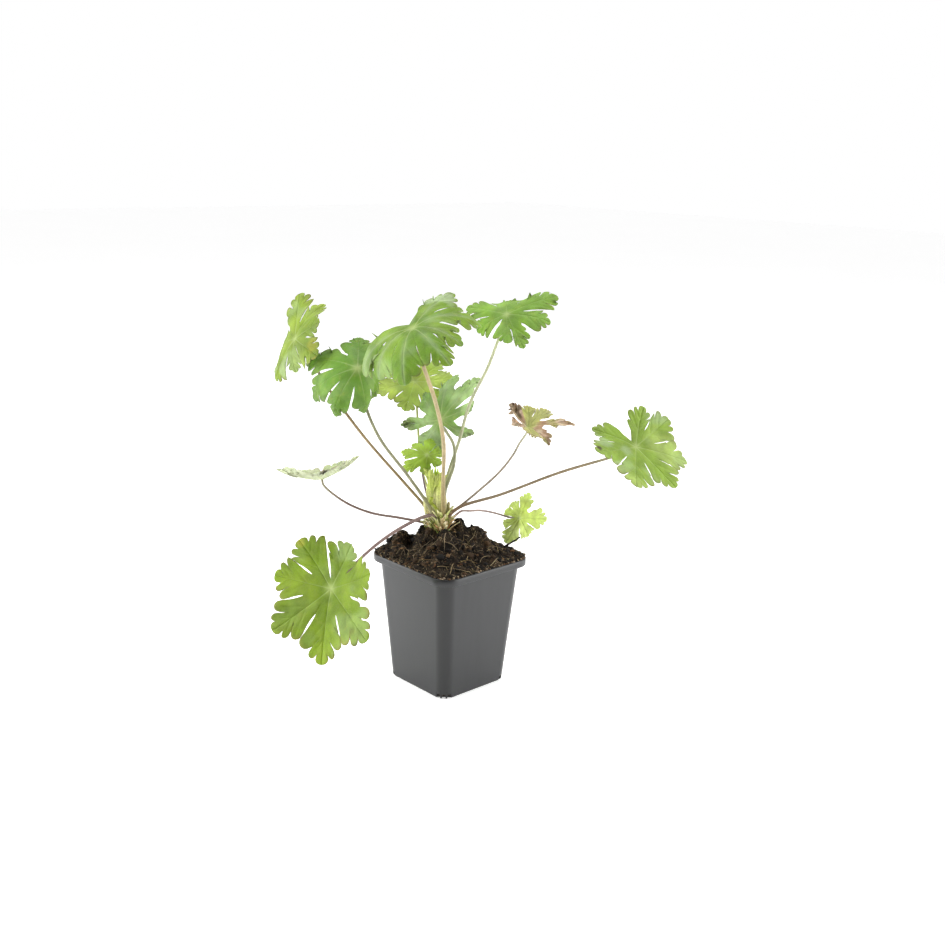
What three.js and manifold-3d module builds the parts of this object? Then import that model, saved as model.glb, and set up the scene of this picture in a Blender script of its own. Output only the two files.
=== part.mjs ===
// Hardy geranium (cranesbill) in a square nursery pot.
//
// Millimetres, +Z up. The origin is the centre of the pot's underside, and the
// pot's walls run parallel to X and Y. Thirteen leaves rise from one crown:
// each leaf is a thin lobed blade on its own stalk.

import * as THREE from 'three';
import { mergeVertices } from 'three/addons/utils/BufferGeometryUtils.js';
import Module from 'manifold-3d';

const wasm = await Module();
wasm.setup();

// ---------------------------------------------------------------- dimensions

const GAP = 0.3;

const POT = {
  height: 100,
  wall: 1.2,
  floor: 1.8,
  footHalf: 32.5,
  footRadius: 9,
  footRound: 1,
  neckHalf: 40.2,
  neckRadius: 11,
  rimHalf: 45,
  rimRadius: 14,
  rimDepth: 5.5,
  rimRound: 0.8,
  cornerSteps: 5,
};

const DRAIN = {
  slotHeight: 3.6,
  slotWidth: 2.8,
  slotPitch: 4.1,
  slotReach: 7,
  holeRadius: 4,
  holeOffset: 23,
  holeSides: 12,
};

const SOIL = {
  spread: 43.2,
  spreadRadius: 12.5,
  lipHeight: 1.3,
  moundHeight: 23,
  moundPower: 1.1,
  apex: [-4, 3],
  angles: 52,
  rings: [1, 0.94, 0.86, 0.78, 0.69, 0.6, 0.51, 0.42, 0.33, 0.24, 0.15, 0.06],
  lumps: 60,
  lumpHeight: 3,
  lumpRadius: 4.5,
  lowest: 0.8,
};

// The larger clods and the hollows: place, height above the mound, radius.
const CLODS = [
  { x: -24.5, y: 31, height: 8, radius: 7.5 },
  { x: -21.5, y: 22, height: -8, radius: 5.5 },
  { x: -26.5, y: 16.5, height: -5.5, radius: 5 },
  { x: -16, y: 15, height: 4, radius: 6 },
  { x: 17.5, y: -12.5, height: 7.5, radius: 7.5 },
  { x: 8, y: -1.5, height: 8, radius: 5 },
  { x: 22, y: 18, height: 4, radius: 7 },
  { x: -15, y: -14, height: 3, radius: 7 },
];

const CROWN = {
  centre: [-5, 4.5, 121],
  radius: 7,
  height: 12.5,
  scales: 15,
  scaleLength: 12,
  scaleRadius: 1.9,
  scaleReach: 0.62,
  scaleSpread: 9,
};

const GOLDEN_SHARE = 0.618;

const TWIG = { from: [30, -21, 101.5], to: [42, -33, 113.5], radius: 0.9 };

const BLADE = { thickness: 0.7, pleat: 0.1, lobeGap: 0.009, heelDepth: 0.12 };
const JOIN_LEAD = 4;
const STEEPEST_JOIN = 60;

// Axis of each of the seven lobes, in degrees from the middle lobe, and the
// lobe's length as a share of the leaf's radius.
const LOBE_ANGLES = [-146, -97, -47, 0, 47, 97, 146];
const LOBE_LENGTHS = [0.74, 0.86, 0.95, 1, 0.95, 0.86, 0.74];
const LOBE_BLEND = 0.42;
const STRAIGHT = 1e-6;
const NOTCH_SHARE = 0.93;

// Half of a lobe's edge, from the notch beside it to its tip. Each row is the
// share of the lobe's length, the half width as a share of the leaf's radius,
// and where the side vein to that point leaves the midrib.
const NOTCH_VEIN = 0.17;
const LOBE_EDGE = [
  [0.5, 0.228, 0.28],
  [0.62, 0.265, 0.34],
  [0.72, 0.285, 0.4],
  [0.8, 0.24, 0.47],
  [0.69, 0.095, 0.58],
  [0.83, 0.168, 0.67],
  [0.915, 0.155, 0.715],
  [0.86, 0.062, 0.775],
  [0.94, 0.085, 0.86],
];

const STALK_SIDES = 6;
const STALK_STEP = 14;
const LEAST_STEPS = 6;

const GREEN = {
  deep: 0x5f8f3a,
  dusty: 0x86a860,
  fresh: 0x8bb03c,
  lime: 0xb4d455,
  blue: 0x74a565,
  olive: 0x9aa04e,
};
const STALK = { maroon: 0x7a5a55, rose: 0xa98a72, pale: 0xa6ab7c };

// Each leaf: where the blade joins the stalk, the blade's heading, pitch and
// roll in degrees, its radius, the cone angle at the join, and for the seven
// lobes the droop in degrees, the length, the swing sideways and the width.
// notch gives the depths of the six cuts between lobes. The stalk runs from
// its foot in the crown through the points of its path to the blade, and
// meets it at the heel where heel is true.
const LEAVES = [
  {
    name: 'leaf_01', green: GREEN.fresh, at: [-66, 106, 256], turn: [57, 33, -55], radius: 44, cone: 0,
    droop: [32, 5, 56, -3, 36, 28, 76], length: [1.05, 0.8, 0.9, 1.1, 0.95, 1.05, 0.8],
    swing: [-4, -7, 6, -8, 7, 4, 1], width: [1.15, 1.05, 1.05, 1.15, 1, 1.1, 1],
    notch: [0.39, 0.33, 0.34, 0.38, 0.45, 0.34], stalk: STALK.pale, stalkRadius: 1,
    path: [
      [-6.9, 9.2, 124], [-11.5, 15, 135], [-21, 29.5, 153],
      [-38, 57.5, 186], [-50, 89.5, 222.5], [-56, 102, 243],
    ],
  },
  {
    name: 'leaf_02', green: GREEN.deep, at: [-57, 40.5, 243], turn: [150, -6, -54], radius: 58, cone: 22,
    droop: [15, 35, 40, 70, 85, 100, 120], length: [1, 1, 1.15, 1.15, 1.05, 0.95, 1],
    swing: [0, -5, 5, -3, -5, 3, 4], width: [1.1, 0.95, 1.15, 1.05, 1.15, 0.95, 1.1],
    notch: [0.37, 0.34, 0.39, 0.32, 0.27, 0.37], stalk: STALK.rose, stalkRadius: 1.1,
    path: [
      [-8.6, 6.5, 127], [-13, 10, 138], [-26, 20, 162],
      [-38, 38, 188], [-37, 56, 208], [-45, 52.5, 228],
    ],
  },
  {
    name: 'leaf_03', green: GREEN.dusty, at: [-48, -10, 277], turn: [-111, -8, 28], radius: 58, cone: -11,
    droop: [51, 130, 84, 60, 115, 93, 27], length: [1.35, 0.95, 0.9, 0.9, 0.75, 1.1, 1.2],
    swing: [26, 0, 8, 5, -8, -6, -22], width: [1.2, 1.1, 1.1, 0.9, 0.95, 0.85, 0.8],
    notch: [0.38, 0.28, 0.43, 0.39, 0.36, 0.37], stalk: STALK.rose, stalkRadius: 1.5,
    path: [
      [-6.6, 0.6, 126], [-7.5, 0.5, 143], [-10, -2, 161],
      [-15, -7, 192], [-25, -9, 222], [-38, -9, 252],
    ],
  },
  {
    name: 'leaf_04', green: GREEN.deep, at: [49, -3, 279], turn: [-11, 32, 23], radius: 40, cone: 4,
    droop: [0, 40, 42, 15, 54, 9, 50], length: [0.9, 0.95, 0.9, 1.15, 0.95, 1.1, 0.9],
    swing: [14, -15, 0, -10, 2, 10, 3], width: [0.9, 0.9, 1.05, 1.2, 1.1, 1, 1.05],
    notch: [0.38, 0.37, 0.33, 0.37, 0.38, 0.37], stalk: STALK.pale, stalkRadius: 1,
    path: [
      [-1.1, 7.2, 126], [2, 10.5, 147], [8.5, 12, 162],
      [17.5, 11.5, 184], [23.5, 7.5, 212], [35, 1, 240], [43, -1, 260],
    ],
  },
  {
    name: 'leaf_05', green: GREEN.olive, at: [27, 76, 218], turn: [-147, -39, -16], radius: 38, cone: -12,
    droop: [-3, 11, 0, 5, 1, -25, 26], length: [1, 1.05, 1.05, 0.95, 1, 0.95, 1],
    swing: [7, -1, 0, 0, 0, 2, -2], width: [0.95, 1.05, 1.15, 1.05, 1.15, 1.05, 1],
    notch: [0.3, 0.33, 0.44, 0.44, 0.36, 0.33], stalk: STALK.pale, stalkRadius: 0.9,
    path: [
      [-3.4, 9.1, 125], [-4.5, 15, 138], [3.5, 39, 159],
      [16, 58, 183], [23, 69, 204],
    ],
  },
  {
    name: 'leaf_06', green: GREEN.blue, at: [1.5, 15, 201.5], turn: [104, 76, -73], radius: 61, cone: 33,
    droop: [94, 125, 40, 57, 50, 14, 14], length: [1, 1.05, 1.05, 1.1, 0.8, 1, 1],
    swing: [-4, 20, 4, -1, 4, -4, -18], width: [0.7, 0.65, 0.6, 0.65, 0.6, 0.5, 0.85],
    notch: [0.21, 0.26, 0.55, 0.37, 0.37, 0.23], stalk: STALK.pale, stalkRadius: 1.1,
    heel: true,
    path: [
      [-3.1, 2.4, 127], [-1, 5.8, 148], [3.6, 6.2, 158],
      [7, 6, 166], [9, 7, 175], [9.3, 9.5, 183.5],
    ],
  },
  {
    name: 'leaf_07', green: GREEN.fresh, at: [-12, 14.5, 176.5], turn: [160, -40, -68], radius: 27, cone: 30,
    droop: [45, 65, 35, 20, 55, 50, 40], length: [1, 1, 1, 1, 1, 0.95, 1],
    swing: [-7, 8, -5, -9, 2, 11, 0], width: [0.95, 0.9, 0.9, 0.9, 0.9, 0.9, 0.95],
    notch: [0.37, 0.37, 0.32, 0.49, 0.37, 0.37], stalk: STALK.maroon, stalkRadius: 0.8,
    path: [
      [-4.8, 6.2, 128], [-8.4, 15.5, 140], [-7.2, 23, 152],
      [-3.4, 29.5, 159.6], [-4.6, 26.5, 168.5],
    ],
  },
  {
    name: 'leaf_08', green: GREEN.lime, at: [-10, 10.5, 145], turn: [200, 8, -6], radius: 24, cone: -68,
    droop: [10, 10, 10, 10, 10, 10, 10], length: [1, 1, 1, 1, 1, 1, 1],
    swing: [0, 0, 0, 0, 0, 0, 0], width: [1.1, 1.1, 1.1, 1.1, 1.1, 1.1, 1.1],
    notch: [0.4, 0.4, 0.4, 0.4, 0.4, 0.4], stalk: GREEN.lime, stalkRadius: 1.5,
    path: [
      [-6.7, 3.9, 128], [-8.4, 7.4, 136],
    ],
  },
  {
    name: 'leaf_09', green: GREEN.olive, at: [31, -47, 203], turn: [-37, -6, 20], radius: 29, cone: -26,
    droop: [0, 15, 75, 30, 40, 40, -15], length: [0.95, 1, 0.9, 1.2, 1, 0.95, 1],
    swing: [6, 7, -7, 2, 6, -12, -1], width: [0.6, 0.9, 0.9, 0.7, 1, 1, 0.6],
    notch: [0.37, 0.37, 0.41, 0.36, 0.37, 0.37], stalk: STALK.maroon, stalkRadius: 0.9,
    path: [
      [-0.8, 3.8, 127.5], [0.2, 2.6, 131], [5.4, -4.2, 138], [12.5, -16, 151],
      [21, -29.5, 167.5], [26, -38, 181.5], [28.5, -42, 191],
    ],
  },
  {
    name: 'leaf_10', green: GREEN.fresh, at: [82, -107, 193], turn: [-84, -36, 11], radius: 47, cone: -4,
    droop: [22, -15, -9, 5, 17, 1, -40], length: [1, 1.05, 1.05, 0.9, 0.95, 1.05, 1],
    swing: [1, -1, -1, 1, 4, 4, -12], width: [0.9, 1.1, 1.15, 1.05, 1.05, 1.1, 0.9],
    notch: [0.39, 0.38, 0.35, 0.41, 0.36, 0.4], stalk: STALK.maroon, stalkRadius: 1,
    path: [
      [-3.4, -0.8, 128], [-2, -1, 131.5], [3.1, -7, 138.5],
      [22, -30, 150], [50, -64, 170], [69, -89, 182],
    ],
  },
  {
    name: 'leaf_11', green: GREEN.lime, at: [61, -12.5, 120], turn: [-35, -4, 74], radius: 34, cone: 46,
    droop: [60, 0, 15, -10, 0, 50, 60], length: [1, 1.1, 1, 1.05, 1.1, 0.95, 1],
    swing: [2, -8, -2, 0, 12, 0, -3], width: [0.75, 1.1, 1.05, 1.15, 0.85, 0.95, 0.8],
    notch: [0.37, 0.37, 0.36, 0.4, 0.37, 0.37], stalk: STALK.maroon, stalkRadius: 0.7,
    path: [
      [-0.3, 4.6, 123], [6.8, 2.5, 128.5], [11.5, 1, 131.5], [22, 2.5, 129.5],
      [40, 8, 125], [48.5, 7, 122.5], [56.5, 5, 119.5], [62, -0.5, 117.4],
    ],
  },
  {
    name: 'leaf_12', green: GREEN.olive, at: [-57, 85, 150], turn: [127, -14, 6], radius: 40, cone: -7,
    droop: [-27, -9, -3, -30, -45, -19, -32], length: [1.15, 1.1, 0.95, 0.95, 0.95, 0.95, 1],
    swing: [-2, -3, 3, -1, 10, 7, -4], width: [1, 1, 1.05, 1.05, 1.05, 0.95, 0.9],
    notch: [0.34, 0.32, 0.32, 0.32, 0.4, 0.34], stalk: STALK.maroon, stalkRadius: 0.8,
    path: [
      [-6.5, 8.5, 120], [-10, 14, 122.5], [-22, 31, 125],
      [-36, 52, 127], [-48, 69, 134],
    ],
  },
  {
    name: 'leaf_13', green: GREEN.fresh, at: [-103, 11, 93], turn: [-137, -64, 24], radius: 57, cone: -9,
    droop: [-30, 2, -15, 9, -2, -33, -14], length: [1, 0.95, 0.95, 0.95, 1, 1, 0.9],
    swing: [-2, -4, -3, 0, 0, 4, 0], width: [1.15, 1, 1.1, 1.05, 1.05, 1.05, 1],
    notch: [0.33, 0.4, 0.38, 0.38, 0.4, 0.36], stalk: STALK.rose, stalkRadius: 1.1,
    path: [
      [-9.9, 3.4, 128], [-14, 4.6, 132], [-20.5, 6.4, 132],
      [-31, 9, 129], [-54, 11, 121], [-80, 12, 107],
    ],
  },
];

// ------------------------------------------------------------------- helpers

const radians = THREE.MathUtils.degToRad;

/** Seeded random numbers, so that every build gives the same piece. */
function randomFrom(seed) {
  let state = seed >>> 0;
  return () => {
    state = (state + 0x6d2b79f5) >>> 0;
    let mixed = Math.imul(state ^ (state >>> 15), 1 | state);
    mixed = (mixed + Math.imul(mixed ^ (mixed >>> 7), 61 | mixed)) ^ mixed;
    return ((mixed ^ (mixed >>> 14)) >>> 0) / 4294967296;
  };
}

/** Keeps only positions and merges the vertices that coincide. */
function bare(geometry) {
  const copy = geometry.clone();
  copy.deleteAttribute('normal');
  copy.deleteAttribute('uv');
  return mergeVertices(copy, 1e-4);
}

function toManifold(geometry) {
  const clean = bare(geometry);
  const vertProperties = Float32Array.from(clean.attributes.position.array);
  const triVerts = Uint32Array.from(clean.index.array);
  return new wasm.Manifold(new wasm.Mesh({ numProp: 3, vertProperties, triVerts }));
}

function toGeometry(manifold) {
  const mesh = manifold.getMesh();
  const geometry = new THREE.BufferGeometry();
  geometry.setAttribute('position', new THREE.BufferAttribute(mesh.vertProperties, 3));
  geometry.setIndex(new THREE.BufferAttribute(mesh.triVerts, 1));
  return geometry;
}

/** The largest body of a solid: scraps that a cut sets free are dropped. */
function largestBody(manifold) {
  const bodies = manifold.decompose();
  return bodies.reduce((best, body) => (body.volume() > best.volume() ? body : best));
}

function placed(geometry, position, direction) {
  const up = new THREE.Vector3(0, 1, 0);
  const turn = new THREE.Quaternion().setFromUnitVectors(up, direction.clone().normalize());
  return geometry.applyQuaternion(turn).translate(position.x, position.y, position.z);
}

function mesh(name, geometry, colour, roughness) {
  const material = new THREE.MeshStandardMaterial({ color: colour, roughness, metalness: 0 });
  const piece = new THREE.Mesh(geometry, material);
  piece.name = name;
  return piece;
}

/** Angle from one heading to another, between minus and plus half a turn. */
function angleBetween(from, to) {
  return THREE.MathUtils.euclideanModulo(to - from + Math.PI, 2 * Math.PI) - Math.PI;
}

/** Ring of points on a level square with round corners. */
function squareRing(half, radius, height) {
  const ring = [];
  for (let corner = 0; corner < 4; corner += 1) {
    const middle = radians(45 + 90 * corner);
    const x = (half - radius) * Math.sign(Math.cos(middle));
    const y = (half - radius) * Math.sign(Math.sin(middle));
    for (let step = 0; step <= POT.cornerSteps; step += 1) {
      const angle = radians(90 * (corner + step / POT.cornerSteps));
      ring.push(new THREE.Vector3(x + radius * Math.cos(angle), y + radius * Math.sin(angle), height));
    }
  }
  return ring;
}

/** Closed solid through rings of equal length, each ring a list of Vector3. */
function loft(rings) {
  const count = rings[0].length;
  const positions = [];
  const indices = [];
  rings.forEach((ring) => ring.forEach((point) => positions.push(point.x, point.y, point.z)));
  for (let ring = 0; ring < rings.length - 1; ring += 1) {
    for (let side = 0; side < count; side += 1) {
      const a = ring * count + side;
      const b = ring * count + ((side + 1) % count);
      indices.push(a, b, b + count, a, b + count, a + count);
    }
  }
  const cap = (ring, flip) => {
    const middle = positions.length / 3;
    const centre = rings[ring].reduce((sum, point) => sum.add(point), new THREE.Vector3());
    centre.divideScalar(count);
    positions.push(centre.x, centre.y, centre.z);
    for (let side = 0; side < count; side += 1) {
      const a = ring * count + side;
      const b = ring * count + ((side + 1) % count);
      indices.push(middle, flip ? b : a, flip ? a : b);
    }
  };
  cap(0, true);
  cap(rings.length - 1, false);
  const geometry = new THREE.BufferGeometry();
  geometry.setAttribute('position', new THREE.BufferAttribute(Float32Array.from(positions), 3));
  geometry.setIndex(indices);
  return geometry;
}

// ----------------------------------------------------------------------- pot

/** Outer half width and corner radius of the pot's body at a height. */
function bodyAt(height) {
  const share = height / (POT.height - POT.rimDepth);
  return {
    half: THREE.MathUtils.lerp(POT.footHalf, POT.neckHalf, share),
    radius: THREE.MathUtils.lerp(POT.footRadius, POT.neckRadius, share),
  };
}

/** Level ring of the body, set in from its outer face. */
function bodyRing(height, inset) {
  const body = bodyAt(height);
  return squareRing(body.half - inset, body.radius - inset, height);
}

function potShell() {
  const brim = POT.height - POT.wall;
  const hem = POT.height - POT.rimDepth;
  const rings = [
    bodyRing(0, POT.footRound),
    bodyRing(POT.footRound, 0),
    bodyRing(brim, 0),
    squareRing(POT.rimHalf - POT.wall, POT.rimRadius - POT.wall, brim),
    squareRing(POT.rimHalf - POT.wall, POT.rimRadius - POT.wall, hem),
    squareRing(POT.rimHalf, POT.rimRadius, hem),
    squareRing(POT.rimHalf, POT.rimRadius, POT.height - POT.rimRound),
    squareRing(POT.rimHalf - POT.rimRound, POT.rimRadius - POT.rimRound, POT.height),
    bodyRing(POT.height, POT.wall),
    bodyRing(POT.floor, POT.wall),
  ];
  return toManifold(loft(rings));
}

function drainSlots() {
  const cutters = [];
  const corner = Math.SQRT2 * (POT.footHalf - POT.footRadius) + POT.footRadius;
  for (let quarter = 0; quarter < 4; quarter += 1) {
    const heading = radians(45 + 90 * quarter);
    for (let slot = -1; slot <= 1; slot += 1) {
      const box = new THREE.BoxGeometry(DRAIN.slotReach, DRAIN.slotWidth, 2 * DRAIN.slotHeight);
      box.translate(corner, slot * DRAIN.slotPitch, 0).rotateZ(heading);
      cutters.push(toManifold(box));
    }
    const { holeRadius, holeSides, holeOffset } = DRAIN;
    const hole = new THREE.CylinderGeometry(holeRadius, holeRadius, 4 * POT.floor, holeSides);
    hole.rotateX(Math.PI / 2).translate(holeOffset, 0, 0).rotateZ(heading);
    cutters.push(toManifold(hole));
  }
  return cutters;
}

function potSolid() {
  return drainSlots().reduce((pot, cutter) => pot.subtract(cutter), potShell());
}

// -------------------------------------------------------------------- leaves

/** Frame of a leaf: heading, then pitch up, then roll, at the blade's join. */
function leafFrame(leaf) {
  const [heading, pitch, roll] = leaf.turn.map(radians);
  const frame = new THREE.Matrix4().makeRotationZ(heading);
  frame.multiply(new THREE.Matrix4().makeRotationY(-pitch));
  frame.multiply(new THREE.Matrix4().makeRotationX(roll));
  frame.setPosition(...leaf.at);
  return frame;
}

function lobeAxes(leaf) {
  return LOBE_ANGLES.map((angle, lobe) => radians(angle + leaf.swing[lobe]));
}

/** Droop at an angle round the join: a smooth blend of the lobes' droops. */
function droopAt(leaf, axes, angle) {
  let total = 0;
  let weight = 0;
  axes.forEach((axis, lobe) => {
    const share = Math.exp(-((angleBetween(axis, angle) / LOBE_BLEND) ** 2));
    total += share * radians(leaf.droop[lobe]);
    weight += share;
  });
  return total / weight;
}

/** Bends a point of the flat leaf into its arched, pleated place. */
function archedPoint(leaf, axes, flat) {
  const reach = flat.length();
  const angle = Math.atan2(flat.y, flat.x);
  const apart = Math.min(...axes.map((axis) => Math.abs(angleBetween(axis, angle))));
  const lift = BLADE.pleat * reach * Math.sin(apart);
  const bend = droopAt(leaf, axes, angle) / leaf.radius;
  const curve = Math.abs(bend) < STRAIGHT ? STRAIGHT : bend;
  const cone = radians(leaf.cone);
  const out = (Math.sin(cone + curve * reach) - Math.sin(cone)) / curve;
  const down = (Math.cos(cone) - Math.cos(cone + curve * reach)) / curve;
  return new THREE.Vector3(out * Math.cos(angle), out * Math.sin(angle), lift - down);
}

/** Edge points of half a lobe on the flat leaf: side +1 is anticlockwise. */
function lobeEdge(leaf, axes, lobe, side) {
  const next = lobe + side;
  const inner = next >= 0 && next < axes.length;
  const spread = inner ? Math.abs(axes[next] - axes[lobe]) / 2 : Math.PI - Math.abs(axes[lobe]);
  const depth = inner ? leaf.notch[Math.min(lobe, next)] * NOTCH_SHARE : BLADE.heelDepth;
  const length = leaf.radius * LOBE_LENGTHS[lobe] * leaf.length[lobe];
  const edge = LOBE_EDGE.map(([along, wide, vein]) => {
    const x = along * length;
    const half = wide * leaf.radius * leaf.width[lobe];
    const room = (x * Math.sin(spread) - BLADE.lobeGap * leaf.radius) / Math.cos(spread);
    return { x, y: side * Math.max(0, Math.min(half, room)), vein: vein * length };
  });
  const x = depth * leaf.radius * Math.cos(spread);
  const y = side * depth * leaf.radius * Math.sin(spread);
  return [{ x, y, vein: NOTCH_VEIN * length }, ...edge];
}

/** The flat leaf as points, triangles and its outline, each lobe split along its midrib. */
function flatLeaf(leaf, axes) {
  const points = [new THREE.Vector2(0, 0)];
  const triangles = [];
  const outline = [];
  const centre = new THREE.Vector2();
  const add = (lobe, x, y) => points.push(new THREE.Vector2(x, y).rotateAround(centre, axes[lobe])) - 1;
  const notches = axes.map((_, lobe) => {
    const notch = lobeEdge(leaf, axes, lobe, -1)[0];
    return add(lobe, notch.x, notch.y);
  });
  axes.forEach((_, lobe) => {
    const ends = [notches[lobe], notches[(lobe + 1) % axes.length]];
    const halves = [-1, 1].map((side) => lobeEdge(leaf, axes, lobe, side));
    const rib = halves[0].map((station) => add(lobe, station.vein, 0));
    const tip = add(lobe, leaf.radius * LOBE_LENGTHS[lobe] * leaf.length[lobe], 0);
    const edges = halves.map((half, side) => (
      half.map((station, row) => (row === 0 ? ends[side] : add(lobe, station.x, station.y)))
    ));
    edges.forEach((edge, side) => {
      const face = (a, b, c) => triangles.push(side === 1 ? [a, b, c] : [a, c, b]);
      face(0, rib[0], edge[0]);
      for (let row = 0; row < rib.length - 1; row += 1) {
        face(rib[row], rib[row + 1], edge[row + 1]);
        face(rib[row], edge[row + 1], edge[row]);
      }
      face(rib[rib.length - 1], tip, edge[edge.length - 1]);
    });
    outline.push(...edges[0], tip, ...edges[1].slice(1).reverse());
  });
  return { points, triangles, outline };
}

/** A blade of even thickness: both faces share one pattern of triangles. */
function bladeGeometry(leaf) {
  const axes = lobeAxes(leaf);
  const { points, triangles, outline } = flatLeaf(leaf, axes);
  const arched = points.map((point) => archedPoint(leaf, axes, point));
  const middle = new THREE.BufferGeometry().setFromPoints(arched);
  middle.setIndex(triangles.flat());
  middle.computeVertexNormals();
  const shifted = (offset) => arched.map((point, index) => {
    const normal = new THREE.Vector3().fromBufferAttribute(middle.attributes.normal, index);
    return normal.multiplyScalar(offset).add(point);
  });
  const half = BLADE.thickness / 2;
  const count = points.length;
  const indices = triangles.flat();
  triangles.forEach(([a, b, c]) => indices.push(a + count, c + count, b + count));
  outline.forEach((a, place) => {
    const b = outline[(place + 1) % outline.length];
    indices.push(a, b + count, b, a, a + count, b + count);
  });
  const geometry = new THREE.BufferGeometry().setFromPoints([...shifted(half), ...shifted(-half)]);
  geometry.setIndex(indices);
  return geometry.applyMatrix4(leafFrame(leaf));
}

/** End of a stalk in its leaf's frame: behind the heel's edge, or square under the join. */
function stalkEnd(leaf) {
  if (leaf.heel) {
    const reach = BLADE.heelDepth * leaf.radius + GAP + leaf.stalkRadius;
    return [new THREE.Vector3(-reach, 0, -reach * Math.tan(radians(leaf.cone)))];
  }
  const steepest = leaf.cone + (NOTCH_VEIN / 2) * Math.max(...leaf.droop);
  const slope = Math.tan(radians(THREE.MathUtils.clamp(steepest, 0, STEEPEST_JOIN)));
  const shy = BLADE.thickness / 2 + GAP + leaf.stalkRadius * slope;
  return [new THREE.Vector3(0, 0, -shy - JOIN_LEAD), new THREE.Vector3(0, 0, -shy)];
}

/** Path of a stalk, from its foot in the crown to the blade. A socket starts lower by grow. */
function stalkPath(leaf, grow) {
  const frame = leafFrame(leaf);
  const points = leaf.path.map((point) => new THREE.Vector3(...point));
  const down = points[0].clone().sub(points[1]).normalize();
  points[0].addScaledVector(down, grow);
  points.push(...stalkEnd(leaf).map((point) => point.applyMatrix4(frame)));
  return new THREE.CatmullRomCurve3(points, false, 'centripetal');
}

function stalkGeometry(leaf, grow = 0) {
  const path = stalkPath(leaf, grow);
  const outline = new THREE.Shape();
  const radius = leaf.stalkRadius + grow;
  for (let side = 0; side < STALK_SIDES; side += 1) {
    const angle = (2 * Math.PI * side) / STALK_SIDES;
    const step = side === 0 ? 'moveTo' : 'lineTo';
    outline[step](radius * Math.cos(angle), radius * Math.sin(angle));
  }
  const steps = LEAST_STEPS + Math.round(path.getLength() / STALK_STEP);
  return new THREE.ExtrudeGeometry(outline, { steps, extrudePath: path });
}

// --------------------------------------------------------------------- crown

/** One pointed scale of the crown: its heading, lean, foot height and length are drawn. */
function crownScale(place, random, grow) {
  const heading = 2 * Math.PI * (place * GOLDEN_SHARE + 0.1 * random());
  const lean = 0.35 + 0.75 * random();
  const length = CROWN.scaleLength * (0.7 + 0.5 * random());
  const around = new THREE.Vector3(Math.cos(heading), Math.sin(heading), 0);
  const direction = around.clone().multiplyScalar(lean).add(new THREE.Vector3(0, 0, 1)).normalize();
  const foot = new THREE.Vector3(...CROWN.centre);
  foot.addScaledVector(around, CROWN.radius * CROWN.scaleReach);
  foot.z += CROWN.scaleSpread * (random() - 1 / 3);
  const cone = new THREE.ConeGeometry(CROWN.scaleRadius + grow, length + 2 * grow, 5);
  return placed(cone, foot.addScaledVector(direction, length / 2), direction);
}

/** Crown with its papery scales, all enlarged by grow for its hollow in the compost. */
function crownBody(grow) {
  const random = randomFrom(31);
  const core = new THREE.SphereGeometry(1, 14, 10).rotateX(Math.PI / 2);
  core.scale(CROWN.radius + grow, CROWN.radius + grow, CROWN.height + grow);
  core.translate(...CROWN.centre);
  let body = toManifold(core);
  for (let place = 0; place < CROWN.scales; place += 1) {
    body = body.add(toManifold(crownScale(place, random, grow)));
  }
  return body;
}

function crownSolid() {
  let body = crownBody(0);
  LEAVES.forEach((leaf) => {
    body = body.subtract(toManifold(stalkGeometry(leaf, GAP)));
  });
  return largestBody(body);
}

// ---------------------------------------------------------------------- soil

/** Height of the compost over the rim, before its lumps. */
function moundHeight(share) {
  return SOIL.lipHeight + SOIL.moundHeight * (1 - share) ** SOIL.moundPower;
}

function soilLumps() {
  const random = randomFrom(7);
  const small = Array.from({ length: SOIL.lumps }, () => ({
    x: (random() * 2 - 1) * SOIL.spread,
    y: (random() * 2 - 1) * SOIL.spread,
    radius: SOIL.lumpRadius * (0.6 + 0.8 * random()),
    height: SOIL.lumpHeight * (random() * 1.6 - 0.6),
  }));
  return [...CLODS, ...small];
}

function soilSurface(x, y, share, lumps) {
  const fade = Math.min(1, (1 - share) * 6 + 0.25);
  const bumps = lumps.reduce((sum, lump) => {
    const apart = Math.hypot(x - lump.x, y - lump.y) / lump.radius;
    return sum + lump.height * Math.exp(-(apart ** 4));
  }, 0);
  return POT.height + GAP + Math.max(SOIL.lowest, moundHeight(share) + bumps * fade);
}

/** Radius of a rounded square in a direction. */
function squareReach(half, radius, angle) {
  const c = Math.abs(Math.cos(angle));
  const s = Math.abs(Math.sin(angle));
  const flat = half / Math.max(c, s);
  const inner = half - radius;
  if (flat * Math.min(c, s) <= inner) return flat;
  const along = inner * (c + s);
  return along + Math.sqrt(along * along - 2 * inner * inner + radius * radius);
}

function soilRing(half, radius, height) {
  const ring = [];
  for (let step = 0; step < SOIL.angles; step += 1) {
    const angle = (2 * Math.PI * (step + 0.5)) / SOIL.angles;
    const reach = squareReach(half, radius, angle);
    ring.push(new THREE.Vector3(reach * Math.cos(angle), reach * Math.sin(angle), height));
  }
  return ring;
}

function soilBody() {
  const lumps = soilLumps();
  const inset = POT.wall + GAP;
  const low = bodyAt(POT.floor);
  const high = bodyAt(POT.height);
  const lip = POT.height + GAP;
  const rings = [
    soilRing(low.half - inset, low.radius - inset, POT.floor + GAP),
    soilRing(high.half - inset, high.radius - inset, lip),
    soilRing(SOIL.spread, SOIL.spreadRadius, lip),
  ];
  SOIL.rings.forEach((share) => {
    const ring = soilRing(SOIL.spread * share, SOIL.spreadRadius * share, 0);
    ring.forEach((point) => {
      point.x += SOIL.apex[0] * (1 - share);
      point.y += SOIL.apex[1] * (1 - share);
      point.z = soilSurface(point.x, point.y, share, lumps);
    });
    rings.push(ring);
  });
  return toManifold(loft(rings));
}

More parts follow.
